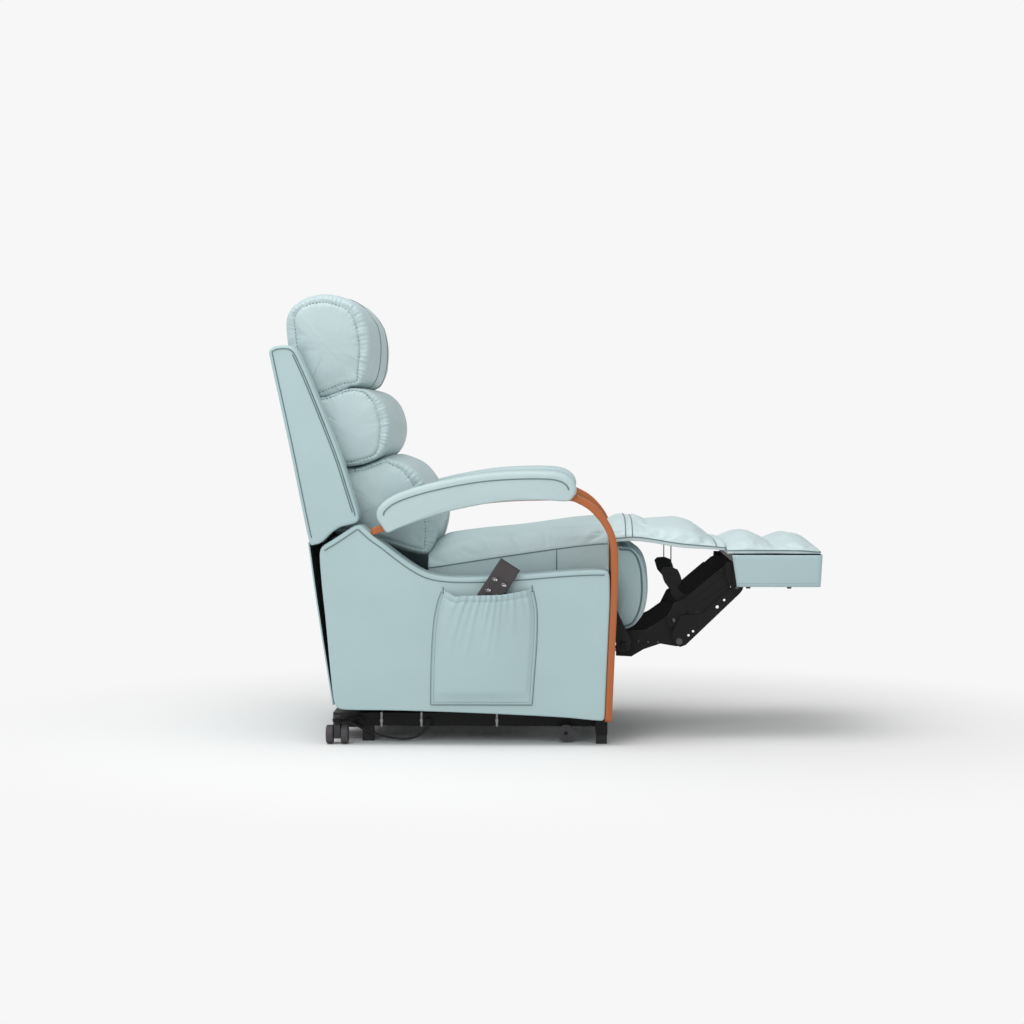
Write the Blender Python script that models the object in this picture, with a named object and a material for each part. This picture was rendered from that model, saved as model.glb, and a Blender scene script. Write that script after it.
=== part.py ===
"""Lift recliner chair, built piece by piece in metres.

+X is the chair's front, +Y its left side and +Z up.  The origin is on the floor, in the
middle of the chair's length and width with the footrest out.
"""
import bpy
import bmesh
from math import cos, pi, radians, sin, tau
from mathutils import Matrix, Vector

# ---- driving dimensions ------------------------------------------------------------------
GAP = 0.0005                 # running gap between pieces that touch or sit against each other

PANEL_IN = 0.295             # arm side panel, inner and outer face from the middle
PANEL_OUT = 0.380
PAD_IN = 0.300               # upholstered arm pad
PAD_OUT = 0.400
STRUT_IN = 0.3125            # bentwood strut
STRUT_OUT = 0.3775
STRUT_THICK = 0.017
WING_IN = 0.310              # back wing
WING_OUT = 0.385
BACK_HALF = 0.305            # back board and pillows, half width
PILLOW_HALF = 0.298
LUMBAR_HALF = 0.283
SEAT_HALF = 0.280
APRON_HALF = 0.218
FOOT_HALF = 0.270            # footrest tray, half width

LIFT_PIVOT = (0.0, 0.052)            # lift arm on the base rail, as (x, z)
LIFT_REAR = (-0.46, 0.085)           # lift arm on the chassis
LINK_BASE = (0.062, 0.080)           # front link on the base rail
LINK_CHASSIS = (-0.22, 0.150)        # front link on the chassis, the open pivot
BACK_PIVOT = (-0.439, 0.373)
LEG_PIVOT = (0.185, 0.235)           # lower footrest link on the seat frame
LEG_KNEE = (0.322, 0.243)            # lower link to big plate
LEG_ELBOW = (0.309, 0.294)           # lower link to channel
TRAY_PIVOT = (0.462, 0.377)          # big plate to footrest tray
BRIDGE_PIVOT = (0.215, 0.490)        # calf pad on the front of the seat

LIFT_MOTOR = (-0.415, 0.055)
LIFT_CRANK = (-0.040, 0.109)
RECLINE_MOTOR = (-0.080, 0.290)
RECLINE_CRANK = (-0.447, 0.285)
LEG_MOTOR = (-0.160, 0.200)
LEG_CRANK = (0.210, 0.1917)
LEG_MOTOR_Y = 0.100

RAIL_IN = 0.262
RAIL_OUT = 0.287
RAIL_Z = (0.037, 0.069)
RAIL_X = (-0.4685, 0.1157)
FRONT_BAR_X = (0.1162, 0.1450)
REAR_BAR_X = (-0.4620, -0.4320)
CASTOR = (-0.511, 0.330)             # swivel axis, (x, y)
CASTOR_TRAIL = 0.012
CASTOR_R = 0.0225
CASTOR_Z = 0.0235
ROLLER = (0.044, 0.0235)             # transport roller, (x, z)
ROLLER_R = 0.0205

HANDSET_LEAN = radians(33)
HANDSET_SIZE = (0.055, 0.018, 0.170)
HANDSET_TOP = (-0.0885, 0.4405)
HANDSET_FACE = -0.402
POCKET_FACE = -0.409

CABLE_R = 0.003

# side outlines, each a list of (x, z) corners
PANEL_OUTLINE = [(-0.550, 0.478), (-0.523, 0.495), (-0.463, 0.533), (-0.449, 0.5355),
                 (-0.436, 0.512), (-0.420, 0.500), (-0.391, 0.486), (-0.355, 0.459),
                 (-0.319, 0.433), (-0.283, 0.416), (-0.234, 0.409), (-0.066, 0.414),
                 (0.030, 0.422), (0.136, 0.426), (0.1495, 0.417), (0.1500, 0.354),
                 (0.1440, 0.209), (0.1375, 0.061), (0.030, 0.070), (-0.162, 0.079),
                 (-0.356, 0.085), (-0.488, 0.086), (-0.510, 0.092), (-0.517, 0.106),
                 (-0.536, 0.305), (-0.552, 0.450)]
STRUT_LINE = [(-0.424, 0.5165), (-0.395, 0.5270), (-0.355, 0.5410), (-0.282, 0.5660),
              (-0.210, 0.5840), (-0.114, 0.5970), (-0.020, 0.6010), (0.054, 0.6000),
              (0.080, 0.5915), (0.104, 0.5770), (0.127, 0.5540), (0.143, 0.5310),
              (0.154, 0.5060), (0.1595, 0.4800), (0.1610, 0.4500), (0.1595, 0.3540),
              (0.1530, 0.2090), (0.1465, 0.0600)]
PAD_TOP = [(0.066, 0.6085), (0.071, 0.622), (0.058, 0.645), (0.018, 0.662), (-0.066, 0.664),
           (-0.162, 0.657), (-0.258, 0.640), (-0.330, 0.621), (-0.379, 0.601),
           (-0.408, 0.577), (-0.412, 0.553), (-0.402, 0.5395)]
SEAT_OUTLINE = [(-0.297, 0.3875), (-0.298, 0.428), (-0.272, 0.438), (-0.262, 0.452),
                (-0.258, 0.470), (-0.246, 0.486), (-0.166, 0.498), (-0.069, 0.508),
                (0.029, 0.521), (0.127, 0.531), (0.150, 0.534), (0.188, 0.546),
                (0.2085, 0.541), (0.2085, 0.486), (0.152, 0.486), (0.150, 0.400),
                (0.130, 0.3875)]
APRON_OUTLINE = [(0.1655, 0.470), (0.200, 0.472), (0.224, 0.456), (0.237, 0.407),
                 (0.239, 0.358), (0.232, 0.316), (0.216, 0.282), (0.201, 0.272),
                 (0.1655, 0.267)]
HEAD_OUTLINE = [(-0.604, 0.833), (-0.544, 0.8485), (-0.495, 0.868), (-0.480, 0.8695),
                (-0.462, 0.873), (-0.448, 0.889), (-0.440, 0.918), (-0.437, 0.968),
                (-0.447, 1.022), (-0.464, 1.061), (-0.496, 1.084), (-0.543, 1.095),
                (-0.579, 1.093), (-0.611, 1.078), (-0.631, 1.054), (-0.636, 1.030),
                (-0.628, 0.952)]
MID_OUTLINE = [(-0.571, 0.676), (-0.484, 0.675), (-0.425, 0.690), (-0.405, 0.701),
               (-0.389, 0.726), (-0.384, 0.760), (-0.388, 0.790), (-0.402, 0.826),
               (-0.424, 0.850), (-0.450, 0.863), (-0.480, 0.8665), (-0.495, 0.865),
               (-0.544, 0.8455), (-0.604, 0.830)]
LUMBAR_OUTLINE = [(-0.534, 0.512), (-0.460, 0.497), (-0.387, 0.474), (-0.338, 0.459),
                  (-0.304, 0.453), (-0.284, 0.462), (-0.276, 0.485), (-0.276, 0.530),
                  (-0.281, 0.560), (-0.303, 0.622), (-0.322, 0.652), (-0.347, 0.675),
                  (-0.385, 0.692), (-0.405, 0.694), (-0.425, 0.686), (-0.484, 0.671),
                  (-0.569, 0.672)]
BRIDGE_OUTLINE = [(0.2130, 0.4930), (0.2130, 0.5390), (0.249, 0.524), (0.286, 0.523),
                  (0.322, 0.528), (0.359, 0.521), (0.396, 0.499), (0.415, 0.487),
                  (0.434, 0.486), (0.434, 0.472), (0.390, 0.4725), (0.323, 0.4740),
                  (0.249, 0.4870)]
FOOT_PAD_OUTLINE = [(0.438, 0.464), (0.438, 0.488), (0.481, 0.498), (0.518, 0.494),
                    (0.547, 0.489), (0.566, 0.496), (0.615, 0.496), (0.644, 0.484),
                    (0.669, 0.468), (0.667, 0.4575), (0.451, 0.4575)]
SKIRT_OUTLINE = [(-0.5555, 0.345), (-0.5340, 0.206), (-0.5150, 0.094), (-0.5190, 0.094),
                 (-0.5395, 0.206), (-0.5600, 0.345)]
POCKET_OUTLINE = [(-0.255, 0.374), (-0.162, 0.362), (-0.100, 0.370), (-0.035, 0.380),
                  (-0.025, 0.355), (-0.025, 0.259), (-0.037, 0.102), (-0.282, 0.101),
                  (-0.280, 0.210), (-0.267, 0.331)]

# colours
AQUA = (0.47, 0.60, 0.61)
AQUA_PALE = (0.54, 0.66, 0.68)
STEEL_BLACK = (0.018, 0.016, 0.017)
PLASTIC_GREY = (0.045, 0.042, 0.045)
WOOD = (0.42, 0.14, 0.055)
RUBBER = (0.020, 0.020, 0.020)
BRIGHT_STEEL = (0.55, 0.54, 0.52)
BOARD_BLACK = (0.025, 0.023, 0.024)


# ---- scene and helpers -------------------------------------------------------------------
for old in list(bpy.data.objects):
    bpy.data.objects.remove(old, do_unlink=True)

parts = bpy.data.collections.new("lift_recliner_chair")
cutters = bpy.data.collections.new("cutters")
bpy.context.scene.collection.children.link(parts)
bpy.context.scene.collection.children.link(cutters)
axes = {}


def finish(obj, colour, roughness=0.5, metallic=0.0):
    """Give an object a material of its own."""
    surface = bpy.data.materials.new(obj.name)
    surface.use_nodes = True
    shader = surface.node_tree.nodes["Principled BSDF"]
    shader.inputs["Base Color"].default_value = (*colour, 1.0)
    shader.inputs["Roughness"].default_value = roughness
    shader.inputs["Metallic"].default_value = metallic
    obj.data.materials.clear()
    obj.data.materials.append(surface)


def mesh_object(name, bm, as_cutter=False):
    """Wrap a bmesh as an object, in the parts or the cutters collection."""
    bmesh.ops.recalc_face_normals(bm, faces=bm.faces)
    mesh = bpy.data.meshes.new(name)
    bm.to_mesh(mesh)
    bm.free()
    obj = bpy.data.objects.new(name, mesh)
    (cutters if as_cutter else parts).objects.link(obj)
    if as_cutter:
        obj.hide_render = True
        obj.display_type = "WIRE"
    return obj


def bm_from_curve(curve):
    """The welded mesh of a curve, as a bmesh; the curve is removed."""
    guide = bpy.data.objects.new("guide", curve)
    cutters.objects.link(guide)
    depsgraph = bpy.context.evaluated_depsgraph_get()
    mesh = bpy.data.meshes.new_from_object(guide.evaluated_get(depsgraph))
    bm = bmesh.new()
    bm.from_mesh(mesh)
    bmesh.ops.remove_doubles(bm, verts=bm.verts, dist=1e-5)
    bpy.data.objects.remove(guide, do_unlink=True)
    bpy.data.curves.remove(curve)
    bpy.data.meshes.remove(mesh)
    return bm


def circle(centre, radius, segments=16):
    """Corners of a round hole or boss, as (x, z)."""
    turns = [tau * i / segments for i in range(segments)]
    return [(centre[0] + radius * cos(t), centre[1] + radius * sin(t)) for t in turns]


def slab(outline, y_low, y_high, holes=()):
    """An (x, z) outline with round holes, extruded from y_low to y_high."""
    curve = bpy.data.curves.new("outline", "CURVE")
    curve.dimensions = "2D"
    curve.fill_mode = "BOTH"
    curve.extrude = (y_high - y_low) / 2
    for corners in [outline] + [circle(*hole) for hole in holes]:
        spline = curve.splines.new("POLY")
        spline.points.add(len(corners) - 1)
        spline.use_cyclic_u = True
        for point, (x, z) in zip(spline.points, corners):
            point.co = (x, z, 0, 1)
    bm = bm_from_curve(curve)
    stand = Matrix.Translation((0, (y_low + y_high) / 2, 0)) @ Matrix.Rotation(pi / 2, 4, "X")
    bmesh.ops.transform(bm, matrix=stand, verts=bm.verts)
    return bm


def block(low, high, lean=0.0, about=(0, 0, 0)):
    """A box between two corners, leant about Y round a point."""
    size = Vector(high) - Vector(low)
    middle = (Vector(high) + Vector(low)) / 2
    bm = bmesh.new()
    place = Matrix.Translation(middle) @ Matrix.Diagonal((*size, 1))
    bmesh.ops.create_cube(bm, size=1, matrix=place)
    turn = Matrix.Translation(about) @ Matrix.Rotation(lean, 4, "Y") @ Matrix.Translation(
        -Vector(about))
    bmesh.ops.transform(bm, matrix=turn, verts=bm.verts)
    return bm


def rod(start, end, radius, segments=16, end_radius=None):
    """A round bar between two points."""
    start, end = Vector(start), Vector(end)
    along = end - start
    bm = bmesh.new()
    place = Matrix.Translation((start + end) / 2) @ along.to_track_quat("Z", "Y").to_matrix().to_4x4()
    bmesh.ops.create_cone(bm, cap_ends=True, segments=segments, radius1=radius,
                          radius2=radius if end_radius is None else end_radius,
                          depth=along.length, matrix=place)
    return bm


def combine(obj, bm, operation):
    """Join a shape to an object, or cut it away, with a live Boolean."""
    tool = mesh_object(f"{obj.name}_{operation.lower()}_{len(obj.modifiers)}", bm, as_cutter=True)
    step = obj.modifiers.new(tool.name, "BOOLEAN")
    step.operation = operation
    step.solver = "EXACT"
    step.object = tool


def piece(name, body, colour, base, add=(), cut=(), roughness=0.5, metallic=0.0):
    """One sub-part: a base shape, with others welded on and cut away, hung on its body."""
    obj = mesh_object(name, base)
    for bm in add:
        combine(obj, bm, "UNION")
    for bm in cut:
        combine(obj, bm, "DIFFERENCE")
    finish(obj, colour, roughness, metallic)
    hang(obj, body)
    return obj


def hang(obj, body):
    obj.parent = axes[body]
    obj.matrix_parent_inverse = Matrix.Translation(-axes[body].location)


def axis_at(body, x=0.0, y=0.0, z=0.0):
    """An empty on the joint axis of a moving body."""
    empty = bpy.data.objects.new(f"axis_{body}", None)
    empty.location = (x, y, z)
    empty.empty_display_size = 0.03
    parts.objects.link(empty)
    axes[body] = empty


def side(sign, inner, outer):
    """The low and high y of a piece on one side of the chair."""
    return tuple(sorted((sign * inner, sign * outer)))


def band(line, half):
    """Both edges of a strip along a centre line, as one closed outline."""
    upper, lower = [], []
    for i, here in enumerate(line):
        before, after = line[max(i - 1, 0)], line[min(i + 1, len(line) - 1)]
        along = (Vector(after) - Vector(before)).normalized()
        across = Vector((-along.y, along.x)) * half
        upper.append(tuple(Vector(here) + across))
        lower.append(tuple(Vector(here) - across))
    return upper + lower[::-1]


SIDES = (("left", 1), ("right", -1))


# ---- base on the floor -------------------------------------------------------------------
def base_rail(word, sign):
    y_in, y_out = sign * RAIL_IN, sign * RAIL_OUT
    low, high = side(sign, RAIL_IN, RAIL_OUT)
    rail = block((RAIL_X[0], low, RAIL_Z[0]), (RAIL_X[1], high, RAIL_Z[1]))
    x, y = CASTOR[0], sign * CASTOR[1]
    inside = y_in + sign * 0.004
    pins = [rod((at[0], inside, at[1]), (at[0], sign * reach_in, at[1]), radius)
            for at, reach_in, radius in ((LIFT_PIVOT, 0.2385, 0.006), (LINK_BASE, 0.2205, 0.005))]
    ear = slab([(LINK_BASE[0] - 0.016, 0.060), (LINK_BASE[0] + 0.016, 0.060),
                (LINK_BASE[0] + 0.010, 0.092), (LINK_BASE[0] - 0.010, 0.092)],
               *side(sign, RAIL_IN + 0.002, RAIL_IN + 0.008))
    fork = slab([(ROLLER[0] - 0.009, 0.016), (ROLLER[0] + 0.009, 0.016),
                 (ROLLER[0] + 0.009, 0.050), (ROLLER[0] - 0.009, 0.050)],
                *side(sign, RAIL_OUT - 0.003, RAIL_OUT + 0.004))
    axle = rod((ROLLER[0], y_out, ROLLER[1]), (ROLLER[0], sign * 0.3175, ROLLER[1]), 0.004)
    reach = Vector((x, y)) - Vector((-0.452, sign * 0.275))
    across = Vector((-reach.y, reach.x)).normalized() * 0.011
    root = Vector((-0.452, sign * 0.275))
    corners = [root + across, root - across, Vector((x, y)) - across, Vector((x, y)) + across]
    arm = bmesh.new()
    rim = [arm.verts.new((c.x, c.y, 0.0520)) for c in corners]
    lid = bmesh.ops.extrude_face_region(arm, geom=[arm.faces.new(rim)])["geom"]
    raised = [v for v in lid if isinstance(v, bmesh.types.BMVert)]
    bmesh.ops.translate(arm, vec=(0, 0, 0.008), verts=raised)
    socket = rod((x, y, 0.0520), (x, y, 0.0600), 0.0135, 20)
    add = pins + [ear, fork, axle, arm, socket]
    if sign < 0:
        add.append(block((-0.300, -0.300, 0.041), (-0.286, -RAIL_OUT + 0.003, 0.056)))
    stem_hole = rod((x, y, 0.040), (x, y, 0.070), 0.0056)
    piece(f"base_rail_{word}", "base", STEEL_BLACK, rail, add, [stem_hole], 0.4, 0.3)


def base_frame():
    for word, sign in SIDES:
        base_rail(word, sign)
        low, high = side(sign, 0.300, 0.330)
        piece(f"front_foot_{word}", "base", RUBBER,
              block((0.117, low, 0.0), (0.144, high, 0.0215)), roughness=0.8)
        low, high = side(sign, 0.2625, 0.2865)
        piece(f"rear_foot_{word}", "base", RUBBER,
              block((-0.455, low, 0.0), (-0.427, high, RAIL_Z[0] - GAP)), roughness=0.8)
    front_x, rear_x = FRONT_BAR_X, REAR_BAR_X
    piece("front_crossbar", "base", STEEL_BLACK,
          block((front_x[0], -0.335, 0.022), (front_x[1], 0.335, 0.052)), roughness=0.4, metallic=0.3)
    y = RAIL_IN - GAP
    motor_x, motor_z = LIFT_MOTOR
    ears = [slab([(rear_x[1] - 0.004, 0.030), (motor_x + 0.008, 0.040), (motor_x + 0.010, motor_z + 0.010),
                  (motor_x - 0.006, motor_z + 0.012), (rear_x[1] - 0.004, 0.053)],
                 *side(sign, 0.0125, 0.0165)) for _, sign in SIDES]
    pin = rod((motor_x, -0.016, motor_z), (motor_x, 0.016, motor_z), 0.004)
    piece("rear_crossbar", "base", STEEL_BLACK,
          block((rear_x[0], -y, 0.025), (rear_x[1], y, 0.055)), ears + [pin], roughness=0.4, metallic=0.3)
    gland = rod((-0.478, -0.255, 0.0445), (-0.478, -0.268, 0.0445), 0.0065)
    inlet = block((-0.545, -0.180, 0.038), (-0.520, -0.150, 0.058))
    piece("power_box", "base", PLASTIC_GREY,
          block((-0.530, -0.260, 0.030), (-0.4630, -0.090, 0.066)), [gland], [inlet], roughness=0.5)


def smooth_route(points, steps):
    """Points on a Catmull-Rom curve through a route, with so many steps between two of its points."""
    places = []
    for i in range(len(points) - 1):
        before, start = points[max(i - 1, 0)], points[i]
        end, after = points[i + 1], points[min(i + 2, len(points) - 1)]
        for k in range(steps):
            t = k / steps
            places.append(0.5 * (2 * start + (end - before) * t
                                 + (2 * before - 5 * start + 4 * end - after) * t * t
                                 + (3 * start - before - 3 * end + after) * t ** 3))
    return places + [points[-1]]


def cable():
    """The lead that loops from the power box under the right rail to its clip."""
    route = [(-0.4780, -0.2684, 0.0445), (-0.4775, -0.2780, 0.0438), (-0.4735, -0.2870, 0.0415),
             (-0.4640, -0.2935, 0.0365), (-0.4500, -0.2965, 0.0300), (-0.4300, -0.2975, 0.0220),
             (-0.4080, -0.2980, 0.0145), (-0.3850, -0.2980, 0.0090), (-0.3620, -0.2980, 0.0065),
             (-0.3420, -0.2980, 0.0070), (-0.3250, -0.2975, 0.0110), (-0.3110, -0.2965, 0.0180),
             (-0.3005, -0.2950, 0.0260), (-0.2940, -0.2940, 0.0340), (-0.2930, -0.2940, 0.0405)]
    places = smooth_route([Vector(p) for p in route], steps=3)
    curve = bpy.data.curves.new("cable", "CURVE")
    curve.dimensions = "3D"
    curve.bevel_depth = CABLE_R
    curve.bevel_resolution = 2
    curve.use_fill_caps = True
    spline = curve.splines.new("POLY")
    spline.points.add(len(places) - 1)
    for point, place in zip(spline.points, places):
        point.co = (*place, 1)
    obj = bpy.data.objects.new("cable", curve)
    parts.objects.link(obj)
    finish(obj, RUBBER, 0.5)
    hang(obj, "base")


def castor(word, sign):
    x, y = CASTOR[0], sign * CASTOR[1]
    wheel_y = y + sign * CASTOR_TRAIL
    low, high = side(sign, CASTOR[1] - 0.010, CASTOR[1] + 0.026)
    leg = block((x - 0.0075, low, 0.014), (x + 0.0075, high, 0.0470))
    add = [rod((x, y, 0.040), (x, y, 0.0655), 0.0050),
           rod((x, y, 0.0470 - 0.002), (x, y, 0.0514), 0.0095),
           rod((x, y, 0.0606), (x, y, 0.0665), 0.0090)]
    hole = rod((x - 0.02, wheel_y, CASTOR_Z), (x + 0.02, wheel_y, CASTOR_Z), 0.0036)
    piece(f"castor_fork_{word}", f"castor_{word}", PLASTIC_GREY, leg, add, [hole], 0.45)
    profile = [(0.0095, 0.0), (0.0095, CASTOR_R - 0.002), (0.0120, CASTOR_R),
               (0.0245, CASTOR_R), (0.0270, CASTOR_R - 0.003), (0.0270, 0.010), (0.0245, 0.007)]
    axle = rod((x - 0.026, wheel_y, CASTOR_Z), (x + 0.026, wheel_y, CASTOR_Z), 0.0032)
    discs = [turned(profile, Matrix.Translation((x, wheel_y, CASTOR_Z)) @ Matrix.Rotation(
        0 if way > 0 else pi, 4, "Z")) for way in (1, -1)]
    piece(f"castor_wheels_{word}", f"castor_wheels_{word}", PLASTIC_GREY, discs[0],
          [axle, discs[1]], roughness=0.5)


def turned(profile, place, segments=28):
    """A closed turned solid round the X axis from (x, radius) pairs that start on the axis."""
    bm = bmesh.new()
    verts = [bm.verts.new((px, 0, pr)) for px, pr in profile + [(profile[-1][0], 0.0)]]
    edges = [bm.edges.new(pair) for pair in zip(verts, verts[1:])]
    bmesh.ops.spin(bm, geom=verts + edges, cent=(0, 0, 0), axis=(1, 0, 0), angle=tau,
                   steps=segments, use_merge=True)
    bmesh.ops.remove_doubles(bm, verts=bm.verts, dist=1e-5)
    bmesh.ops.transform(bm, matrix=place, verts=bm.verts)
    return bm


def transport_roller(word, sign):
    low, high = side(sign, 0.2965, 0.3150)
    x, z = ROLLER
    wheel = rod((x, low, z), (x, high, z), ROLLER_R, 28)
    bore = rod((x, low - 0.01, z), (x, high + 0.01, z), 0.0046)
    piece(f"transport_roller_{word}", f"roller_{word}", PLASTIC_GREY, wheel, cut=[bore], roughness=0.6)


# ---- lift mechanism ----------------------------------------------------------------------
def lift_arms():
    for word, sign in SIDES:
        outline = bar_outline(LIFT_PIVOT, LIFT_REAR, 0.0165)
        piece(f"lift_arm_{word}", "lift_arms", STEEL_BLACK,
              slab(outline, *side(sign, 0.240, 0.252), holes=[(LIFT_PIVOT, 0.0066), (LIFT_REAR, 0.0066)]),
              roughness=0.4, metallic=0.3)
        outline = bar_outline(LINK_BASE, LINK_CHASSIS, 0.0125)
        piece(f"front_link_{word}", "front_links", STEEL_BLACK,
              slab(outline, *side(sign, 0.222, 0.231), holes=[(LINK_BASE, 0.0056), (LINK_CHASSIS, 0.0090)]),
              roughness=0.4, metallic=0.3)
    x, z = LIFT_PIVOT
    reach = 0.240 - GAP
    ears = [slab(bar_outline(LIFT_PIVOT, LIFT_CRANK, 0.010), *side(sign, 0.0125, 0.0175))
            for _, sign in SIDES]
    piece("lift_cross_tube", "lift_arms", STEEL_BLACK,
          rod((x - 0.018, -reach, z + 0.004), (x - 0.018, reach, z + 0.004), 0.010), ears,
          roughness=0.4, metallic=0.3)


def bar_outline(start, end, half, segments=8):
    """Outline of a flat bar with round ends between two pivots."""
    start, end = Vector(start), Vector(end)
    along = (end - start).normalized()
    across = Vector((-along.y, along.x))
    ends = []
    for centre, way in ((end, 1), (start, -1)):
        for i in range(segments + 1):
            turn = pi * i / segments
            ends.append(tuple(centre + half * way * (across * cos(turn) + along * sin(turn))))
    return ends


def actuator(name, motor_body, rod_body, start, end, y, body_length, bore_depth, can_way):
    """An electric ram: a motor housing with an eye, and a rod that slides out of its bore."""
    origin, tip = Vector((start[0], y, start[1])), Vector((end[0], y, end[1]))
    along = (tip - origin).normalized()
    mouth = origin + along * body_length
    housing = rod(origin + along * 0.014, mouth, 0.0150, 20)
    can_start = origin + along * 0.030
    up = Vector((-along.z, 0, along.x)) * can_way
    gearbox = rod(origin + along * 0.020, origin + along * 0.062, 0.0235, 20)
    can = rod(can_start + along * 0.010 + up * 0.006, can_start + along * 0.010 + up * 0.036, 0.0180, 20)
    eye = slab(bar_outline((origin.x, origin.z), tuple((origin + along * 0.02).xz), 0.0085),
               y - 0.0115, y + 0.0115)
    pin_hole = rod((start[0], y - 0.03, start[1]), (start[0], y + 0.03, start[1]), 0.0046)
    bore = rod(mouth - along * bore_depth, mouth + along * 0.01, 0.0095)
    piece(f"{name}_motor", motor_body, PLASTIC_GREY, housing, [gearbox, can, eye], [pin_hole, bore])
    shaft = rod(mouth - along * 0.012, tip - along * 0.004, 0.0080)
    head = slab(bar_outline(tuple((tip - along * 0.010).xz), end, 0.0090), y - 0.0105, y + 0.0105)
    open_hole = rod((end[0], y - 0.03, end[1]), (end[0], y + 0.03, end[1]), 0.0055)
    piece(f"{name}_rod", rod_body, BRIGHT_STEEL, shaft, [head], [open_hole], 0.25, 1.0)


# ---- chassis, arms and seat --------------------------------------------------------------
def lug_end(centre, radius):
    """The rounded lower end of a hanging lug, from its right side round to its left."""
    turns = (-0.2, -0.9, -1.57, -2.24, -2.94)
    return [(centre[0] + radius * cos(t), centre[1] + radius * sin(t)) for t in turns]


def chassis():
    width = PANEL_IN - GAP
    rear_lugs, pins = [], []
    for _, sign in SIDES:
        rear_lugs.append(slab([(LIFT_REAR[0] - 0.014, 0.1220), (LIFT_REAR[0] + 0.014, 0.1220)]
                              + lug_end(LIFT_REAR, 0.014), *side(sign, 0.2540, 0.2600)))
        pins.append(rod((LIFT_REAR[0], sign * 0.2585, LIFT_REAR[1]),
                        (LIFT_REAR[0], sign * 0.2385, LIFT_REAR[1]), 0.0060))
    piece("chassis_rear_bar", "chassis", STEEL_BLACK,
          block((-0.475, -width, 0.115), (-0.445, width, 0.145)), rear_lugs + pins,
          roughness=0.4, metallic=0.3)
    lugs = []
    x, z = LINK_CHASSIS
    for _, sign in SIDES:
        lugs.append(slab([(x - 0.013, 0.1900), (x + 0.013, 0.1900)] + lug_end(LINK_CHASSIS, 0.013),
                         *side(sign, 0.2325, 0.2375)))
        lugs.append(rod((x, sign * 0.2350, z), (x, sign * 0.2215, z), 0.0050))
    piece("chassis_mid_bar", "chassis", STEEL_BLACK,
          block((x - 0.013, -width, 0.186), (x + 0.013, width, 0.212)), lugs, roughness=0.4, metallic=0.3)


def seat_frame():
    """Pressed pan with side flanges, hinge ears and motor brackets, one welded piece."""
    pan = block((-0.290, -PANEL_IN + GAP, 0.377), (0.165, PANEL_IN - GAP, 0.387 - GAP))
    add = []
    leg_x, leg_z = LEG_PIVOT
    back_x, back_z = BACK_PIVOT
    for _, sign in SIDES:
        outline = [(back_x - 0.006, back_z + 0.015), (back_x - 0.016, back_z),
                   (back_x - 0.006, back_z - 0.016), (back_x + 0.012, back_z - 0.018), (0.120, 0.345),
                   (leg_x - 0.020, leg_z + 0.010),
                   (leg_x - 0.015, leg_z - 0.012), (leg_x, leg_z - 0.019), (leg_x + 0.015, leg_z - 0.012),
                   (leg_x + 0.019, leg_z + 0.010), (0.1645, 0.330), (0.1645, 0.380), (-0.290, 0.380),
                   (back_x + 0.014, back_z + 0.013)]
        add.append(slab(outline, *side(sign, 0.262, 0.270),
                        holes=[(BACK_PIVOT, 0.0086), (LEG_PIVOT, 0.0090)]))
        for x, z, y in ((*RECLINE_MOTOR, 0.0), (*LEG_MOTOR, LEG_MOTOR_Y)):
            low, high = side(sign, 0.0125, 0.0165)
            add.append(slab([(x - 0.016, 0.380), (x - 0.009, z - 0.006), (x, z - 0.009),
                             (x + 0.009, z - 0.006), (x + 0.016, 0.380)], low + y, high + y))
    for x, z, y in ((*RECLINE_MOTOR, 0.0), (*LEG_MOTOR, LEG_MOTOR_Y)):
        add.append(rod((x, y - 0.015, z), (x, y + 0.015, z), 0.0040))
    piece("seat_frame", "chassis", STEEL_BLACK, pan, add, roughness=0.4, metallic=0.3)


def arms():
    half = STRUT_THICK / 2
    bottom = [tuple(Vector(p) + Vector((0, half + 0.001))) for p in STRUT_LINE[1:8]]
    for word, sign in SIDES:
        piece(f"side_panel_{word}", "chassis", AQUA, slab(PANEL_OUTLINE, *side(sign, PANEL_IN, PANEL_OUT)))
        piece(f"arm_strut_{word}", "chassis", WOOD,
              slab(band(STRUT_LINE, half), *side(sign, STRUT_IN, STRUT_OUT)), roughness=0.35)
        piece(f"arm_pad_{word}", "chassis", AQUA_PALE, slab(bottom + PAD_TOP, *side(sign, PAD_IN, PAD_OUT)))


def side_pocket():
    """The open-topped pouch on the outside of the right side panel."""
    cloth = 0.004
    back = -PANEL_OUT - GAP
    pouch = slab(POCKET_OUTLINE, POCKET_FACE, back)
    hollow = slab([(-0.249, 0.400), (-0.031, 0.400), (-0.031, 0.259), (-0.043, 0.108), (-0.276, 0.108),
                   (-0.273, 0.210), (-0.260, 0.331)], POCKET_FACE + cloth, back + 0.01)
    piece("side_pocket", "chassis", AQUA, pouch, cut=[hollow])


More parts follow.
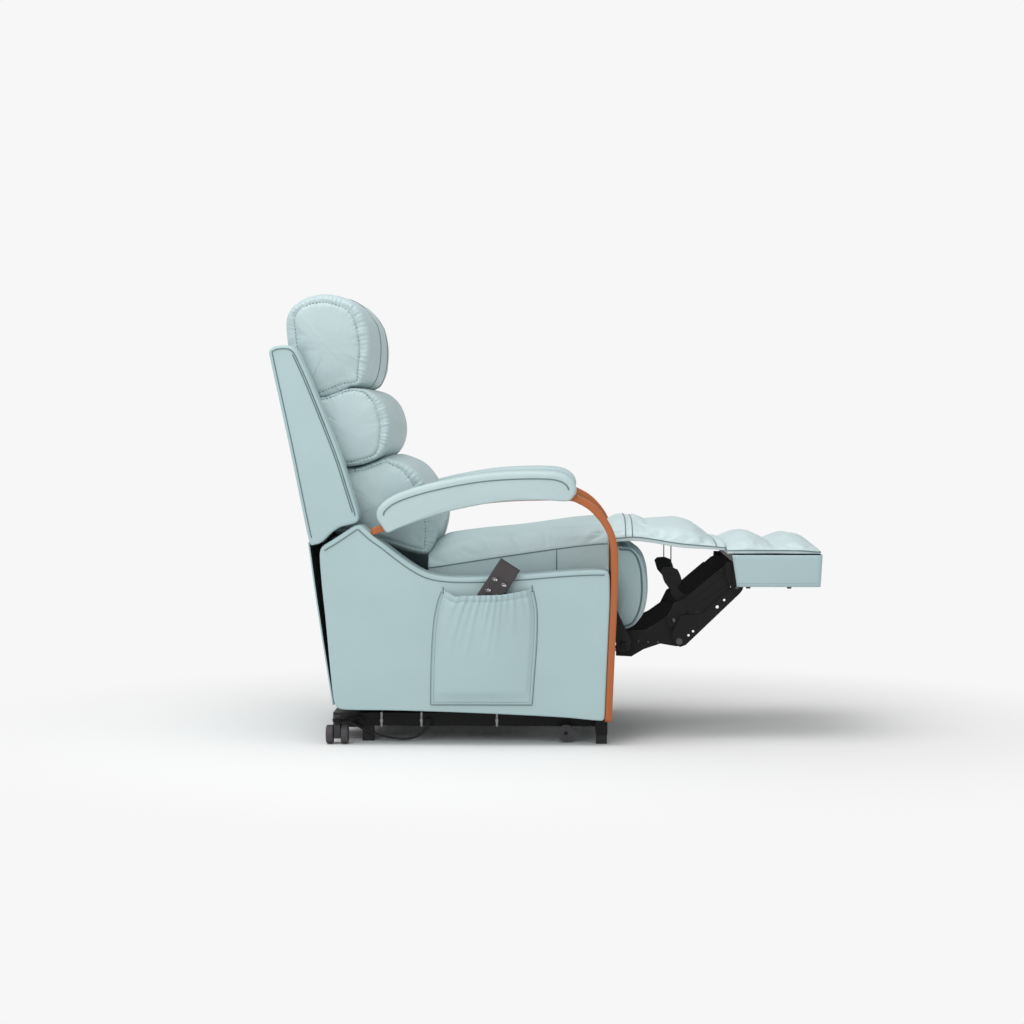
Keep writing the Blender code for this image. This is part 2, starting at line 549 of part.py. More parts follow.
def handset():
    width, depth, length = HANDSET_SIZE
    along = Vector((sin(HANDSET_LEAN), 0, cos(HANDSET_LEAN)))
    across = Vector((cos(HANDSET_LEAN), 0, -sin(HANDSET_LEAN)))
    top = Vector((HANDSET_TOP[0], 0, HANDSET_TOP[1]))
    middle = top - along * (length / 2)

    def leant(centre, half_w, half_l, y_low, y_high):
        return block((centre.x - half_w, y_low, centre.z - half_l),
                     (centre.x + half_w, y_high, centre.z + half_l), HANDSET_LEAN, centre)

    shell = leant(middle, width / 2, length / 2, HANDSET_FACE, HANDSET_FACE + depth)
    spots = [(row, column) for row in (0.052, 0.080) for column in (-0.0125, 0.0125)]
    recesses, names = [], ("lift_up", "lift_down", "recline", "upright")
    for (row, column), word in zip(spots, names):
        centre = top - along * row + across * column
        recesses.append(leant(centre, 0.0086, 0.0096, HANDSET_FACE - 0.001, HANDSET_FACE + 0.0030))
        body = f"button_{word}"
        axis_at(body, centre.x, HANDSET_FACE, centre.z)
        piece(f"button_{word}", body, PLASTIC_GREY,
              leant(centre, 0.0080, 0.0090, HANDSET_FACE - 0.0013, HANDSET_FACE + 0.0013), roughness=0.4)
    piece("handset", "handset", PLASTIC_GREY, shell, cut=recesses, roughness=0.25)


# ---- back --------------------------------------------------------------------------------
def back():
    lean = 0.2165                                    # run of the back board's slope per rise
    z_low, z_high, thick = 0.497, 0.945, 0.035
    x_low = -0.571
    x_high = x_low - lean * (z_high - z_low)
    board = slab([(x_low, z_low), (x_low + thick, z_low), (x_high + thick, z_high), (x_high, z_high)],
                 -BACK_HALF, BACK_HALF)
    px, pz = BACK_PIVOT
    qx, qz = RECLINE_CRANK
    add = []
    for _, sign in SIDES:
        add.append(slab([(-0.568, 0.520), (px - 0.022, pz + 0.012), (px - 0.018, pz - 0.010),
                         (px, pz - 0.019), (px + 0.016, pz - 0.010), (px + 0.018, pz + 0.008),
                         (-0.546, 0.515)],
                        *side(sign, 0.2730, 0.2810)))
        add.append(rod((px, sign * 0.2770, pz), (px, sign * 0.2600, pz), 0.0080))
        low, high = side(sign, 0.0125, 0.0185)
        add.append(slab([(-0.566, 0.520), (px - 0.026, pz), (qx - 0.011, qz), (qx, qz - 0.011),
                         (qx + 0.011, qz), (px + 0.012, pz), (-0.548, 0.515)], low, high))
    add.append(rod((px, -0.016, pz), (px, 0.016, pz), 0.0070))
    piece("back_board", "backrest", BOARD_BLACK, board, add, roughness=0.6)

    gap_radius = 0.1685                              # clear arc round the back pivot
    arc = [(px + gap_radius * cos(radians(t)), pz + gap_radius * sin(radians(t)))
           for t in (94, 105, 116, 127, 136)]
    wing = [(-0.574, 0.495), (-0.671, 0.954), (-0.654, 0.964), (-0.618, 0.966), (-0.602, 0.954),
            (-0.570, 0.882), (-0.499, 0.702), (-0.4510, 0.548)] + arc
    for word, sign in SIDES:
        piece(f"wing_{word}", "backrest", AQUA, slab(wing, *side(sign, WING_IN, WING_OUT)))
    for name, outline, half in (("head_pillow", HEAD_OUTLINE, PILLOW_HALF),
                                ("mid_pillow", MID_OUTLINE, PILLOW_HALF),
                                ("lumbar_pillow", LUMBAR_OUTLINE, LUMBAR_HALF)):
        piece(name, "backrest", AQUA_PALE, slab(outline, -half, half))


# ---- footrest ----------------------------------------------------------------------------
def leg_crank():
    """Torque tube with both lower links and the motor lever welded to it."""
    x, z = LEG_PIVOT
    add = [rod((x, -0.2745, z), (x, 0.2745, z), 0.0080)]
    shape = [(0.167, 0.206), (0.205, 0.204), (0.235, 0.222), (0.276, 0.236), (0.318, 0.229), (0.335, 0.240),
             (0.330, 0.262), (0.325, 0.296), (0.312, 0.309), (0.293, 0.303), (0.262, 0.281), (0.235, 0.268),
             (0.205, 0.267), (0.167, 0.261)]
    for _, sign in SIDES:
        add.append(slab(shape, *side(sign, 0.2320, 0.2380)))
        for (pin_x, pin_z), radius, reach in ((LEG_KNEE, 0.0050, 0.2560), (LEG_ELBOW, 0.0045, 0.2480)):
            add.append(rod((pin_x, sign * 0.2350, pin_z), (pin_x, sign * reach, pin_z), radius))
        low, high = side(sign, 0.0125, 0.0165)
        add.append(slab(bar_outline(LEG_PIVOT, LEG_CRANK, 0.010), low + LEG_MOTOR_Y, high + LEG_MOTOR_Y))
    piece("leg_crank", "leg_crank", STEEL_BLACK, rod((x, -0.236, z), (x, 0.236, z), 0.0120), add,
          roughness=0.4, metallic=0.3)


def leg_links():
    plate = [(0.376, 0.309), (0.450, 0.378), (0.460, 0.391), (0.474, 0.386), (0.477, 0.370), (0.470, 0.361),
             (0.338, 0.234), (0.324, 0.229), (0.310, 0.238), (0.305, 0.264), (0.325, 0.306)]
    channel = [(0.428, 0.424), (0.440, 0.429), (0.455, 0.424), (0.459, 0.408), (0.374, 0.343), (0.349, 0.326),
               (0.322, 0.283), (0.308, 0.277), (0.295, 0.281), (0.292, 0.300), (0.310, 0.336), (0.349, 0.356)]
    trim = [((0.345, 0.258), 0.0030), ((0.356, 0.268), 0.0030), ((0.415, 0.328), 0.0040),
            ((0.432, 0.345), 0.0030)]
    for word, sign in SIDES:
        piece(f"leg_plate_{word}", "leg_plates", STEEL_BLACK,
              slab(plate, *side(sign, 0.2500, 0.2540),
                   holes=[(LEG_KNEE, 0.0056), (TRAY_PIVOT, 0.0056)] + trim),
              roughness=0.4, metallic=0.3)
        piece(f"leg_channel_{word}", "leg_channels", STEEL_BLACK,
              slab(channel, *side(sign, 0.2400, 0.2470), holes=[(LEG_ELBOW, 0.0051)]),
              roughness=0.4, metallic=0.3)


def footrest():
    rear, front, top, wall, low = 0.452, 0.668, 0.4570, 0.008, 0.380
    tray = slab([(rear, low), (rear, top), (front, top), (front - 0.004, low)], -FOOT_HALF, FOOT_HALF)
    hollow = block((rear - 0.01, -FOOT_HALF + wall, low - 0.01), (front - 0.013, FOOT_HALF - wall, 0.439))
    lugs = []
    px, pz = TRAY_PIVOT
    for _, sign in SIDES:
        lugs.append(slab([(0.436, 0.4385), (0.434, 0.404), (0.452, 0.370), (px, 0.365), (0.476, 0.370),
                          (0.500, 0.4450), (0.455, 0.4450), (0.455, 0.4385)], *side(sign, 0.2560, 0.2600)))
        lugs.append(rod((px, sign * 0.2580, pz), (px, sign * 0.2490, pz), 0.0050))
    obj = piece("footrest_tray", "footrest", BOARD_BLACK, tray, cut=[hollow], roughness=0.5)
    for lug in lugs:
        combine(obj, lug, "UNION")
    piece("footrest_pad", "footrest", AQUA_PALE, slab(FOOT_PAD_OUTLINE, -FOOT_HALF, FOOT_HALF))
    piece("calf_pad", "calf_rest", AQUA_PALE, slab(BRIDGE_OUTLINE, -FOOT_HALF, FOOT_HALF))
    hook = [(0.285, 0.468), (0.278, 0.415), (0.285, 0.390), (0.300, 0.373), (0.305, 0.356), (0.325, 0.328),
            (0.344, 0.318), (0.349, 0.348), (0.332, 0.360), (0.324, 0.372), (0.331, 0.393), (0.322, 0.415),
            (0.319, 0.468)]
    hooks = [slab(hook, *side(sign, 0.2240, 0.2300)) for _, sign in SIDES]
    piece("calf_bracket", "calf_rest", STEEL_BLACK,
          block((0.275, -0.250, 0.4600), (0.330, 0.250, 0.4710)), hooks, roughness=0.4, metallic=0.3)


# ---- put it together ---------------------------------------------------------------------
for body, x, z in (("base", 0.0, 0.0), ("chassis", *LIFT_REAR), ("lift_arms", *LIFT_PIVOT),
                   ("front_links", *LINK_BASE), ("backrest", *BACK_PIVOT), ("leg_crank", *LEG_PIVOT),
                   ("leg_plates", *LEG_KNEE), ("leg_channels", *LEG_ELBOW), ("footrest", *TRAY_PIVOT),
                   ("calf_rest", *BRIDGE_PIVOT), ("lift_motor", *LIFT_MOTOR), ("lift_rod", *LIFT_CRANK),
                   ("recline_motor", *RECLINE_MOTOR), ("recline_rod", *RECLINE_CRANK)):
    axis_at(body, x, 0.0, z)
axis_at("leg_motor", LEG_MOTOR[0], LEG_MOTOR_Y, LEG_MOTOR[1])
axis_at("leg_rod", LEG_CRANK[0], LEG_MOTOR_Y, LEG_CRANK[1])
axis_at("handset", HANDSET_TOP[0], HANDSET_FACE, HANDSET_TOP[1])
for word, sign in SIDES:
    axis_at(f"castor_{word}", CASTOR[0], sign * CASTOR[1], CASTOR_Z)
    axis_at(f"castor_wheels_{word}", CASTOR[0], sign * (CASTOR[1] + CASTOR_TRAIL), CASTOR_Z)
    axis_at(f"roller_{word}", ROLLER[0], 0.0, ROLLER[1])

base_frame()
cable()
for word, sign in SIDES:
    castor(word, sign)
    transport_roller(word, sign)
lift_arms()
actuator("lift", "lift_motor", "lift_rod", LIFT_MOTOR, LIFT_CRANK, 0.0, 0.190, 0.030, 1)
actuator("recline", "recline_motor", "recline_rod", RECLINE_MOTOR, RECLINE_CRANK, 0.0, 0.190, 0.080, 1)
actuator("footrest", "leg_motor", "leg_rod", LEG_MOTOR, LEG_CRANK, LEG_MOTOR_Y, 0.190, 0.080, 1)
chassis()
seat_frame()
arms()
side_pocket()
handset()
piece("seat_cushion", "chassis", AQUA_PALE, slab(SEAT_OUTLINE, -SEAT_HALF, SEAT_HALF))
piece("front_apron", "chassis", AQUA, slab(APRON_OUTLINE, -APRON_HALF, APRON_HALF))
piece("rear_skirt", "chassis", AQUA, slab(SKIRT_OUTLINE, -0.270, 0.270))
back()
leg_crank()
leg_links()
footrest()
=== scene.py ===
# Lift recliner chair, dressed: leather, wood, steel and plastic over the moving frame.
import math
import random
import bmesh
import bpy
from mathutils import Matrix, Vector


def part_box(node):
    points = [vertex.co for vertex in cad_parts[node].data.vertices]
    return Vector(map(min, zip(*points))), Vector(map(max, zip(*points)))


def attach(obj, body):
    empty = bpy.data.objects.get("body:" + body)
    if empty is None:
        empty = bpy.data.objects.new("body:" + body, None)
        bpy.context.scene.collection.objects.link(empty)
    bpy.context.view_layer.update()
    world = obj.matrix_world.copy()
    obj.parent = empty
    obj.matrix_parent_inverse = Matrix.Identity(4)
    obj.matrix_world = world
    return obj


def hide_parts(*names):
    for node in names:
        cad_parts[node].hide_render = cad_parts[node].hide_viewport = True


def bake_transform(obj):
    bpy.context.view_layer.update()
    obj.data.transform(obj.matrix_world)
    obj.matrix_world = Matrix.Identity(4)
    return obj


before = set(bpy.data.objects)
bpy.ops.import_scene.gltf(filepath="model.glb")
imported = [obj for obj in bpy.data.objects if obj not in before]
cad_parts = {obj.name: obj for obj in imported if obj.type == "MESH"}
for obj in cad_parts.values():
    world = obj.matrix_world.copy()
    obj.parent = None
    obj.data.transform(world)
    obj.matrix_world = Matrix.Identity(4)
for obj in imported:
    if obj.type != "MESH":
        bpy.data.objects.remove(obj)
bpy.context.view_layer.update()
scene = bpy.context.scene
scene.view_settings.view_transform = "Standard"
random.seed(11)
sides = (("left", 1), ("right", -1))


def mm(*points):
    # points of the tables below, drawn in millimetres; all other sizes are in metres
    return [tuple(size / 1000 for size in point) for point in points]


# camera, floor and light
cameraView = {
    "target": (-0.0955, 0.0, 0.5514), "distance": 6.0, "azimuth": 1.5, "elevation": 2.1, "lens": 82.25}
studio = {
    "background": 0.93, "glow": 0.54, "floor": 0.885, "fadeStart": 0.75, "fadeEnd": 1.7,
    "lamps": [
        ("overhead", (-0.9, -1.0, 4.0), (0.0, 0.0, 0.4), 3.0, 88),
        ("front", (-1.5, -4.5, 2.6), (-0.1, 0.0, 0.5), 2.5, 54)]}


def makeCamera(view):
    turn, tilt = math.radians(view["azimuth"]), math.radians(view["elevation"])
    back = Vector((math.sin(turn) * math.cos(tilt), -math.cos(turn) * math.cos(tilt), math.sin(tilt)))
    data = bpy.data.cameras.new("camera")
    data.lens = view["lens"]
    camera = bpy.data.objects.new("camera", data)
    camera.location = Vector(view["target"]) + back * view["distance"]
    camera.rotation_euler = back.to_track_quat("Z", "Y").to_euler()
    scene.collection.objects.link(camera)
    scene.camera = camera


def softbox(name, place, aim, size, power):
    data = bpy.data.lights.new(name, "AREA")
    data.size = size
    data.energy = power
    lamp = bpy.data.objects.new(name, data)
    lamp.location = place
    lamp.rotation_euler = (Vector(place) - Vector(aim)).to_track_quat("Z", "Y").to_euler()
    scene.collection.objects.link(lamp)


makeCamera(cameraView)
print("camera placed")


# geometry helpers
def smoothLine(points, count, closed=False):
    # evenly spaced points on a Catmull-Rom curve through the given ones
    points = [Vector(p) for p in points]
    total = len(points)
    dense = []
    for i in range(total if closed else total - 1):
        if closed:
            a, b, c, d = (points[(i + k) % total] for k in (-1, 0, 1, 2))
        else:
            a, b, c, d = points[max(i - 1, 0)], points[i], points[i + 1], points[min(i + 2, total - 1)]
        for k in range(10):
            t = k / 10
            dense.append(0.5 * (2 * b + (c - a) * t + (2 * a - 5 * b + 4 * c - d) * t * t
                                + (3 * b - a - 3 * c + d) * t ** 3))
    dense.append(points[0] if closed else points[-1])
    reach = [0.0]
    for before, here in zip(dense, dense[1:]):
        reach.append(reach[-1] + (here - before).length)
    spaced, at = [], 0
    for k in range(count):
        goal = reach[-1] * k / (count if closed else count - 1)
        while at < len(dense) - 2 and reach[at + 1] < goal:
            at += 1
        share = (goal - reach[at]) / max(reach[at + 1] - reach[at], 1e-9)
        spaced.append(dense[at].lerp(dense[at + 1], min(share, 1.0)))
    return spaced


def valueAt(pairs, x):
    # smooth height through (x, height) pairs
    if x <= pairs[0][0]:
        return pairs[0][1]
    for i in range(len(pairs) - 1):
        if x <= pairs[i + 1][0]:
            a, b = pairs[max(i - 1, 0)], pairs[i]
            c, d = pairs[i + 1], pairs[min(i + 2, len(pairs) - 1)]
            span = c[0] - b[0]
            t = (x - b[0]) / span
            slopeB = (c[1] - a[1]) / (c[0] - a[0]) * span
            slopeC = (d[1] - b[1]) / (d[0] - b[0]) * span
            return ((2 * t ** 3 - 3 * t * t + 1) * b[1] + (t ** 3 - 2 * t * t + t) * slopeB
                    + (3 * t * t - 2 * t ** 3) * c[1] + (t ** 3 - t * t) * slopeC)
    return pairs[-1][1]


def keep(name, bm, smooth=True):
    mesh = bpy.data.meshes.new(name)
    bm.to_mesh(mesh)
    bm.free()
    if smooth:
        mesh.shade_smooth()
    piece = bpy.data.objects.new(name, mesh)
    scene.collection.objects.link(piece)
    return piece


def dress(piece, finish, body, slotName, *nodes):
    piece.data.materials.append(finish)
    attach(piece, body)
    if nodes:
        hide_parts(*nodes)
    return piece


def subdivide(piece, levels=1):
    step = piece.modifiers.new("smooth", "SUBSURF")
    step.levels = levels
    step.render_levels = levels


def loft(name, rings):
    bm = bmesh.new()
    rows = [[bm.verts.new(point) for point in ring] for ring in rings]
    for low, high in zip(rows, rows[1:]):
        for i in range(len(low)):
            j = (i + 1) % len(low)
            bm.faces.new((low[i], low[j], high[j], high[i]))
    for row in (rows[0], rows[-1]):
        middle = bm.verts.new(sum((v.co for v in row), Vector()) / len(row))
        for i in range(len(row)):
            bm.faces.new((row[i], row[(i + 1) % len(row)], middle))
    bmesh.ops.recalc_face_normals(bm, faces=bm.faces)
    return keep(name, bm)


def tubes(name, lines, radius, closed=False):
    data = bpy.data.curves.new(name, "CURVE")
    data.dimensions = "3D"
    data.bevel_depth = radius
    data.bevel_resolution = 2
    data.use_fill_caps = True
    for line in lines:
        spline = data.splines.new("POLY")
        spline.points.add(len(line) - 1)
        spline.use_cyclic_u = closed
        for point, place in zip(spline.points, line):
            point.co = (*place, 1)
    piece = bpy.data.objects.new(name, data)
    scene.collection.objects.link(piece)
    return piece


def lengthOf(line):
    return sum((b - a).length for a, b in zip(line, line[1:]))


def rod(bm, start, end, size, up="Z"):
    # a small block laid from start towards end
    turn = (end - start).to_track_quat("X", up).to_matrix().to_4x4()
    place = Matrix.Translation(start.lerp(end, 0.5)) @ turn @ Matrix.Diagonal((*size, 1))
    bmesh.ops.create_cube(bm, size=1, matrix=place)


def stitches(name, lines, pitch=0.008, size=(0.0046, 0.0018, 0.0018)):
    # short thread lengths end to end along each line
    bm = bmesh.new()
    for line in lines:
        spaced = smoothLine(line, max(int(lengthOf(line) / pitch), 3))
        for before, after in zip(spaced, spaced[1:]):
            rod(bm, before, after, size)
    return keep(name, bm)


def box(bm, corner, opposite):
    corner, opposite = Vector(corner), Vector(opposite)
    size = [abs(side) for side in opposite - corner]
    place = Matrix.Translation((opposite + corner) / 2) @ Matrix.Diagonal((*size, 1))
    bmesh.ops.create_cube(bm, size=1, matrix=place)


def disc(bm, centre, axis, radius, depth, segments=24, tip=None):
    turn = Vector(axis).to_track_quat("Z", "Y").to_matrix().to_4x4()
    bmesh.ops.create_cone(bm, cap_ends=True, segments=segments, radius1=radius, radius2=tip or radius,
                          depth=depth, matrix=Matrix.Translation(centre) @ turn)


def soften(bm, width, segments=3, angle=0.6):
    # bevels the edges that turn by more than angle
    sharp = [e for e in bm.edges if len(e.link_faces) == 2 and e.calc_face_angle(0) > angle]
    bmesh.ops.bevel(bm, geom=sharp, offset=width, offset_type="OFFSET", affect="EDGES", segments=segments,
                    profile=0.5, material=-1, clamp_overlap=True)


def turnTowards(bm, way):
    # makes an open sheet's faces point the given way
    bm.normal_update()
    if sum(face.normal.dot(way) for face in bm.faces) < 0:
        bmesh.ops.reverse_faces(bm, faces=bm.faces)


def thicken(piece, thickness, offset, insideSlot=0):
    wall = piece.modifiers.new("wall", "SOLIDIFY")
    wall.thickness = thickness
    wall.offset = offset
    wall.material_offset = insideSlot


def meshNow(piece):
    # the piece's mesh with its modifiers applied
    return bpy.data.meshes.new_from_object(piece.evaluated_get(bpy.context.evaluated_depsgraph_get()))


def applySteps(piece):
    made = meshNow(piece)
    piece.modifiers.clear()
    piece.data = made


# finishes
class Wire:
    # a shader socket that can be used in sums
    def __init__(self, finish, socket):
        self.finish = finish
        self.socket = socket

    def maths(self, operation, first, second):
        return self.finish.node("Math", {"operation": operation}, {0: first, 1: second})

    def __add__(self, other):
        return self.maths("ADD", self, other)

    def __radd__(self, other):
        return self.maths("ADD", other, self)

    def __sub__(self, other):
        return self.maths("SUBTRACT", self, other)

    def __rsub__(self, other):
        return self.maths("SUBTRACT", other, self)

    def __mul__(self, other):
        return self.maths("MULTIPLY", self, other)

    def __rmul__(self, other):
        return self.maths("MULTIPLY", other, self)


class Finish:
    def __init__(self, name):
        self.material = bpy.data.materials.new(name)
        self.material.use_nodes = True
        self.tree = self.material.node_tree
        self.shader = self.tree.nodes["Principled BSDF"]
        self.place = self.node("TexCoord", out="Object")

    def feed(self, target, value):
        if isinstance(value, Wire):
            self.tree.links.new(value.socket, target)
        else:
            target.default_value = value

    def node(self, kind, settings=None, sockets=None, out=0):
        made = self.tree.nodes.new("ShaderNode" + kind)
        for name, value in (settings or {}).items():
            if name == "stops":
                made.color_ramp.elements[0].position, made.color_ramp.elements[1].position = value
            else:
                setattr(made, name, value)
        for socket, value in (sockets or {}).items():
            self.feed(made.inputs[socket], value)
        return Wire(self, made.outputs[out])

    def noise(self, scale, detail=2.0, stretch=(1, 1, 1), place=None):
        mapped = self.node("Mapping", None, {"Vector": place or self.place, "Scale": stretch})
        return self.node("TexNoise", None, {"Vector": mapped, "Scale": scale, "Detail": detail})

    def mix(self, factor, first, second):
        return self.node("Mix", {"data_type": "RGBA"}, {0: factor, 6: (*first, 1), 7: (*second, 1)}, 2)

    def bump(self, height, distance, strength=1.0, under=None):
        sockets = {"Height": height, "Distance": distance, "Strength": strength}
        if under:
            sockets["Normal"] = under
        return self.node("Bump", None, sockets)

    def shade(self, **sockets):
        for name, value in sockets.items():
            self.feed(self.shader.inputs[name.replace("_", " ")], value)
        return self.material


def scaled(colour, factor):
    return tuple(min(c * factor, 1.0) for c in colour)


# the leg colour is not a leather of its own: it is the pad leather made lighter, painted light from above on
# the knee and foot pads, with its red raised as painted sheen
leathers = {
    "side": (0.404, 0.542, 0.559), "pad": (0.468, 0.588, 0.602), "leg": (0.57, 0.69, 0.705),
    "seamDark": (0.125, 0.185, 0.19), "thread": (0.2, 0.29, 0.3), "pebbleScale": 430.0,
    "creaseScale": 26.0}


def leather(name, colour, crease):
    finish = Finish(name)
    mottle = finish.noise(7.0, 3.0)
    pebble = finish.node("TexVoronoi", {"feature": "SMOOTH_F1"},
                         {"Vector": finish.place, "Scale": leathers["pebbleScale"]})
    pores = finish.noise(1500.0, 1.0)
    folds = finish.noise(leathers["creaseScale"], 4.0, (1.0, 1.0, 0.7))
    grain = finish.bump(pebble * 0.7 + pores * 0.3, 0.00035, 0.5)
    return finish.shade(Base_Color=finish.mix(mottle, scaled(colour, 0.93), scaled(colour, 1.06)),
                        Roughness=0.4 + mottle * 0.14, Specular_IOR_Level=0.42,
                        Normal=finish.bump(folds, 0.006, crease, grain))


def paintedSteel(name, colour, roughness):
    finish = Finish(name)
    powder = finish.noise(900.0, 2.0)
    streaks = finish.noise(38.0, 5.0, (1.0, 1.0, 0.35))
    scuff = finish.node("ValToRGB", {"stops": (0.62, 0.8)}, {"Fac": streaks})
    return finish.shade(Base_Color=finish.mix(scuff * 0.35, colour, scaled(colour, 4.0)),
                        Roughness=roughness + powder * 0.12 - scuff * 0.06, Specular_IOR_Level=0.16,
                        Normal=finish.bump(powder, 0.00025, 0.5))


def mouldedPlastic(name, colour, roughness, texture=0.4):
    finish = Finish(name)
    cloudy = finish.noise(30.0, 3.0)
    spark = finish.noise(1800.0, 1.0)
    return finish.shade(Base_Color=finish.mix(cloudy, scaled(colour, 0.85), scaled(colour, 1.2)),
                        Roughness=roughness + cloudy * 0.08, Normal=finish.bump(spark, 0.00015, texture))


def bentWood(name):
    # grain runs along the strip's own length, kept in its UV map
    finish = Finish(name)
    along = finish.node("UVMap", {"uv_map": "run"})
    fibre = finish.noise(4.0, 6.0, (1.2, 60.0, 1.0), along)
    pores = finish.noise(14.0, 3.0, (2.5, 260.0, 1.0), along)
    blotch = finish.noise(3.0, 2.0, (1.0, 6.0, 1.0), along)
    tone = finish.mix(fibre * 0.75 + pores * 0.25, (0.33, 0.08, 0.018), (0.58, 0.165, 0.036))
    warm = finish.node("Mix", {"data_type": "RGBA", "blend_type": "MULTIPLY"},
                       {0: blotch * 0.5, 6: tone, 7: (0.72, 0.62, 0.55, 1)}, 2)
    return finish.shade(Base_Color=warm, Roughness=0.36 + pores * 0.12, Coat_Weight=0.1, Coat_Roughness=0.2,
                        Normal=finish.bump(pores, 0.0002, 0.5))


def brightMetal(name, colour, roughness):
    finish = Finish(name)
    turning = finish.noise(260.0, 2.0, (1.0, 0.1, 1.0))
    return finish.shade(Base_Color=finish.mix(turning, scaled(colour, 0.8), colour), Metallic=1.0,
                        Roughness=roughness + turning * 0.15, Normal=finish.bump(turning, 0.0001, 0.4))


def plainFabric(name, colour):
    # woven dust cover and straps
    finish = Finish(name)
    warp = finish.node("TexWave", {"bands_direction": "X"}, {"Vector": finish.place, "Scale": 260.0})
    weft = finish.node("TexWave", {"bands_direction": "Z"}, {"Vector": finish.place, "Scale": 260.0})
    fuzz = finish.noise(700.0, 2.0)
    return finish.shade(Base_Color=finish.mix(fuzz, scaled(colour, 0.7), scaled(colour, 1.4)), Roughness=0.9,
                        Normal=finish.bump(warp + weft + fuzz, 0.0004, 0.5))


sideLeather = leather("side_leather", leathers["side"], 0.16)
# pad leather: the leather's own colour, with its red raised and green and blue lowered as painted sheen on
# the lit pad tops
padLeatherPaintedSheen = leather("pad_leather_painted_sheen", leathers["pad"], 0.45)
# painted light: the knee and foot pads use a lighter copy of the pad leather for the light falling on them
# from above
paintedLitLegLeather = leather("leg_leather_painted_lit", leathers["leg"], 0.45)
seamLeather = leather("seam_leather", leathers["seamDark"], 0.05)
thread = leather("sewing_thread", leathers["thread"], 0.0)
blackSteel = paintedSteel("black_steel", (0.0105, 0.0098, 0.01), 0.4)
greyPlastic = mouldedPlastic("grey_plastic", (0.022, 0.02, 0.022), 0.46)
wheelPlastic = mouldedPlastic("wheel_plastic", (0.05, 0.045, 0.05), 0.55)
rubber = mouldedPlastic("black_rubber", (0.016, 0.016, 0.017), 0.72, 0.8)
handsetShell = mouldedPlastic("handset_shell", (0.036, 0.031, 0.034), 0.38)
handsetGloss = mouldedPlastic("handset_gloss", (0.044, 0.037, 0.041), 0.12, 0.05)
printWhite = mouldedPlastic("print_white", (0.85, 0.85, 0.86), 0.5, 0.1)
tieWhite = mouldedPlastic("cable_tie", (0.42, 0.41, 0.42), 0.45)
wood = bentWood("orange_wood")
steel = brightMetal("bright_steel", (0.62, 0.61, 0.59), 0.22)
boltSteel = brightMetal("bolt_steel", (0.13, 0.125, 0.13), 0.32)
brass = brightMetal("brass", (0.8, 0.58, 0.3), 0.25)
dustCover = plainFabric("dust_cover", (0.016, 0.015, 0.016))
print("finishes made")


# the lead at the rear: a limp black cable that loops under the right rail
lead = {
    "diameter": 0.006, "exit": (-0.478, -0.2684, 0.0445),
    "route": mm(
        (-478, -268.4, 44.5), (-477.5, -278, 43.8), (-473.5, -287, 41.5), (-464, -293.5, 36.5),
        (-450, -296.5, 30), (-430, -297.5, 22), (-408, -298, 14.5), (-385, -298, 9), (-362, -298, 6.5),
        (-342, -298, 7), (-325, -297.5, 11), (-311, -296.5, 18), (-300.5, -295, 26), (-294, -294, 34),
        (-293, -294, 40.5))}


def makeLead(facts):
    line = smoothLine(facts["route"], 44)
    piece = tubes("cable_lead", [line], facts["diameter"] / 2)
    dress(piece, rubber, "base", "rubber", "cable")
    round(lengthOf(line), 4)


makeLead(lead)
print("lead laid")


# upholstered pieces that are lofted across the chair
def piping(name, lines, radius, body, slotName, closed=False):
    return dress(tubes(name, lines, radius, closed), seamLeather, body, slotName)


def puff(piece, held, facts):
    # blows a sewn shell up against its seams; held gives each point's share of the move
    pins = piece.vertex_groups.new(name="pins")
    for index, share in enumerate(held):
        if share <= 0:
            pins.add([index], 1.0, "REPLACE")
    rest = [v.co.copy() for v in piece.data.vertices]
    step = piece.modifiers.new("puff", "CLOTH")
    cloth = step.settings
    cloth.quality = 5
    cloth.mass = 0.25
    cloth.tension_stiffness = 25
    cloth.compression_stiffness = 25
    cloth.shear_stiffness = 8
    cloth.bending_stiffness = facts["bend"]
    cloth.use_pressure = True
    cloth.uniform_pressure_force = facts["pressure"]
    cloth.vertex_group_mass = "pins"
    cloth.shrink_min = -facts["slack"]
    cloth.effector_weights.gravity = 0
    for number in range(1, 21):
        scene.frame_set(number)
    moved = piece.evaluated_get(bpy.context.evaluated_depsgraph_get()).data.vertices
    goals = [v.co.copy() for v in moved]
    piece.modifiers.remove(step)
    piece.vertex_groups.clear()
    scene.frame_set(1)
    for vertex, start, goal, share in zip(piece.data.vertices, rest, goals, held):
        move = (goal - start) * share
        if move.length > facts["cap"]:
            move = move.normalized() * facts["cap"]
        vertex.co = start + move


def outwards(line):
    # outward directions of a closed (x, z) line
    area = sum(a.x * b.y - b.x * a.y for a, b in zip(line, line[1:] + line[:1]))
    way = 1 if area > 0 else -1
    found = []
    for i, here in enumerate(line):
        along = line[(i + 1) % len(line)] - line[i - 1]
        found.append(Vector((along.y, -along.x)).normalized() * way)
    return found


def insetLine(line, normals, insets):
    # insets: front, rear, top, bottom
    front, rear, top, bottom = insets
    moved = []
    for here, way in zip(line, normals):
        depth = way.x ** 2 * (front if way.x > 0 else rear) + way.y ** 2 * (top if way.y > 0 else bottom)
        moved.append(here - way * depth)
    return moved


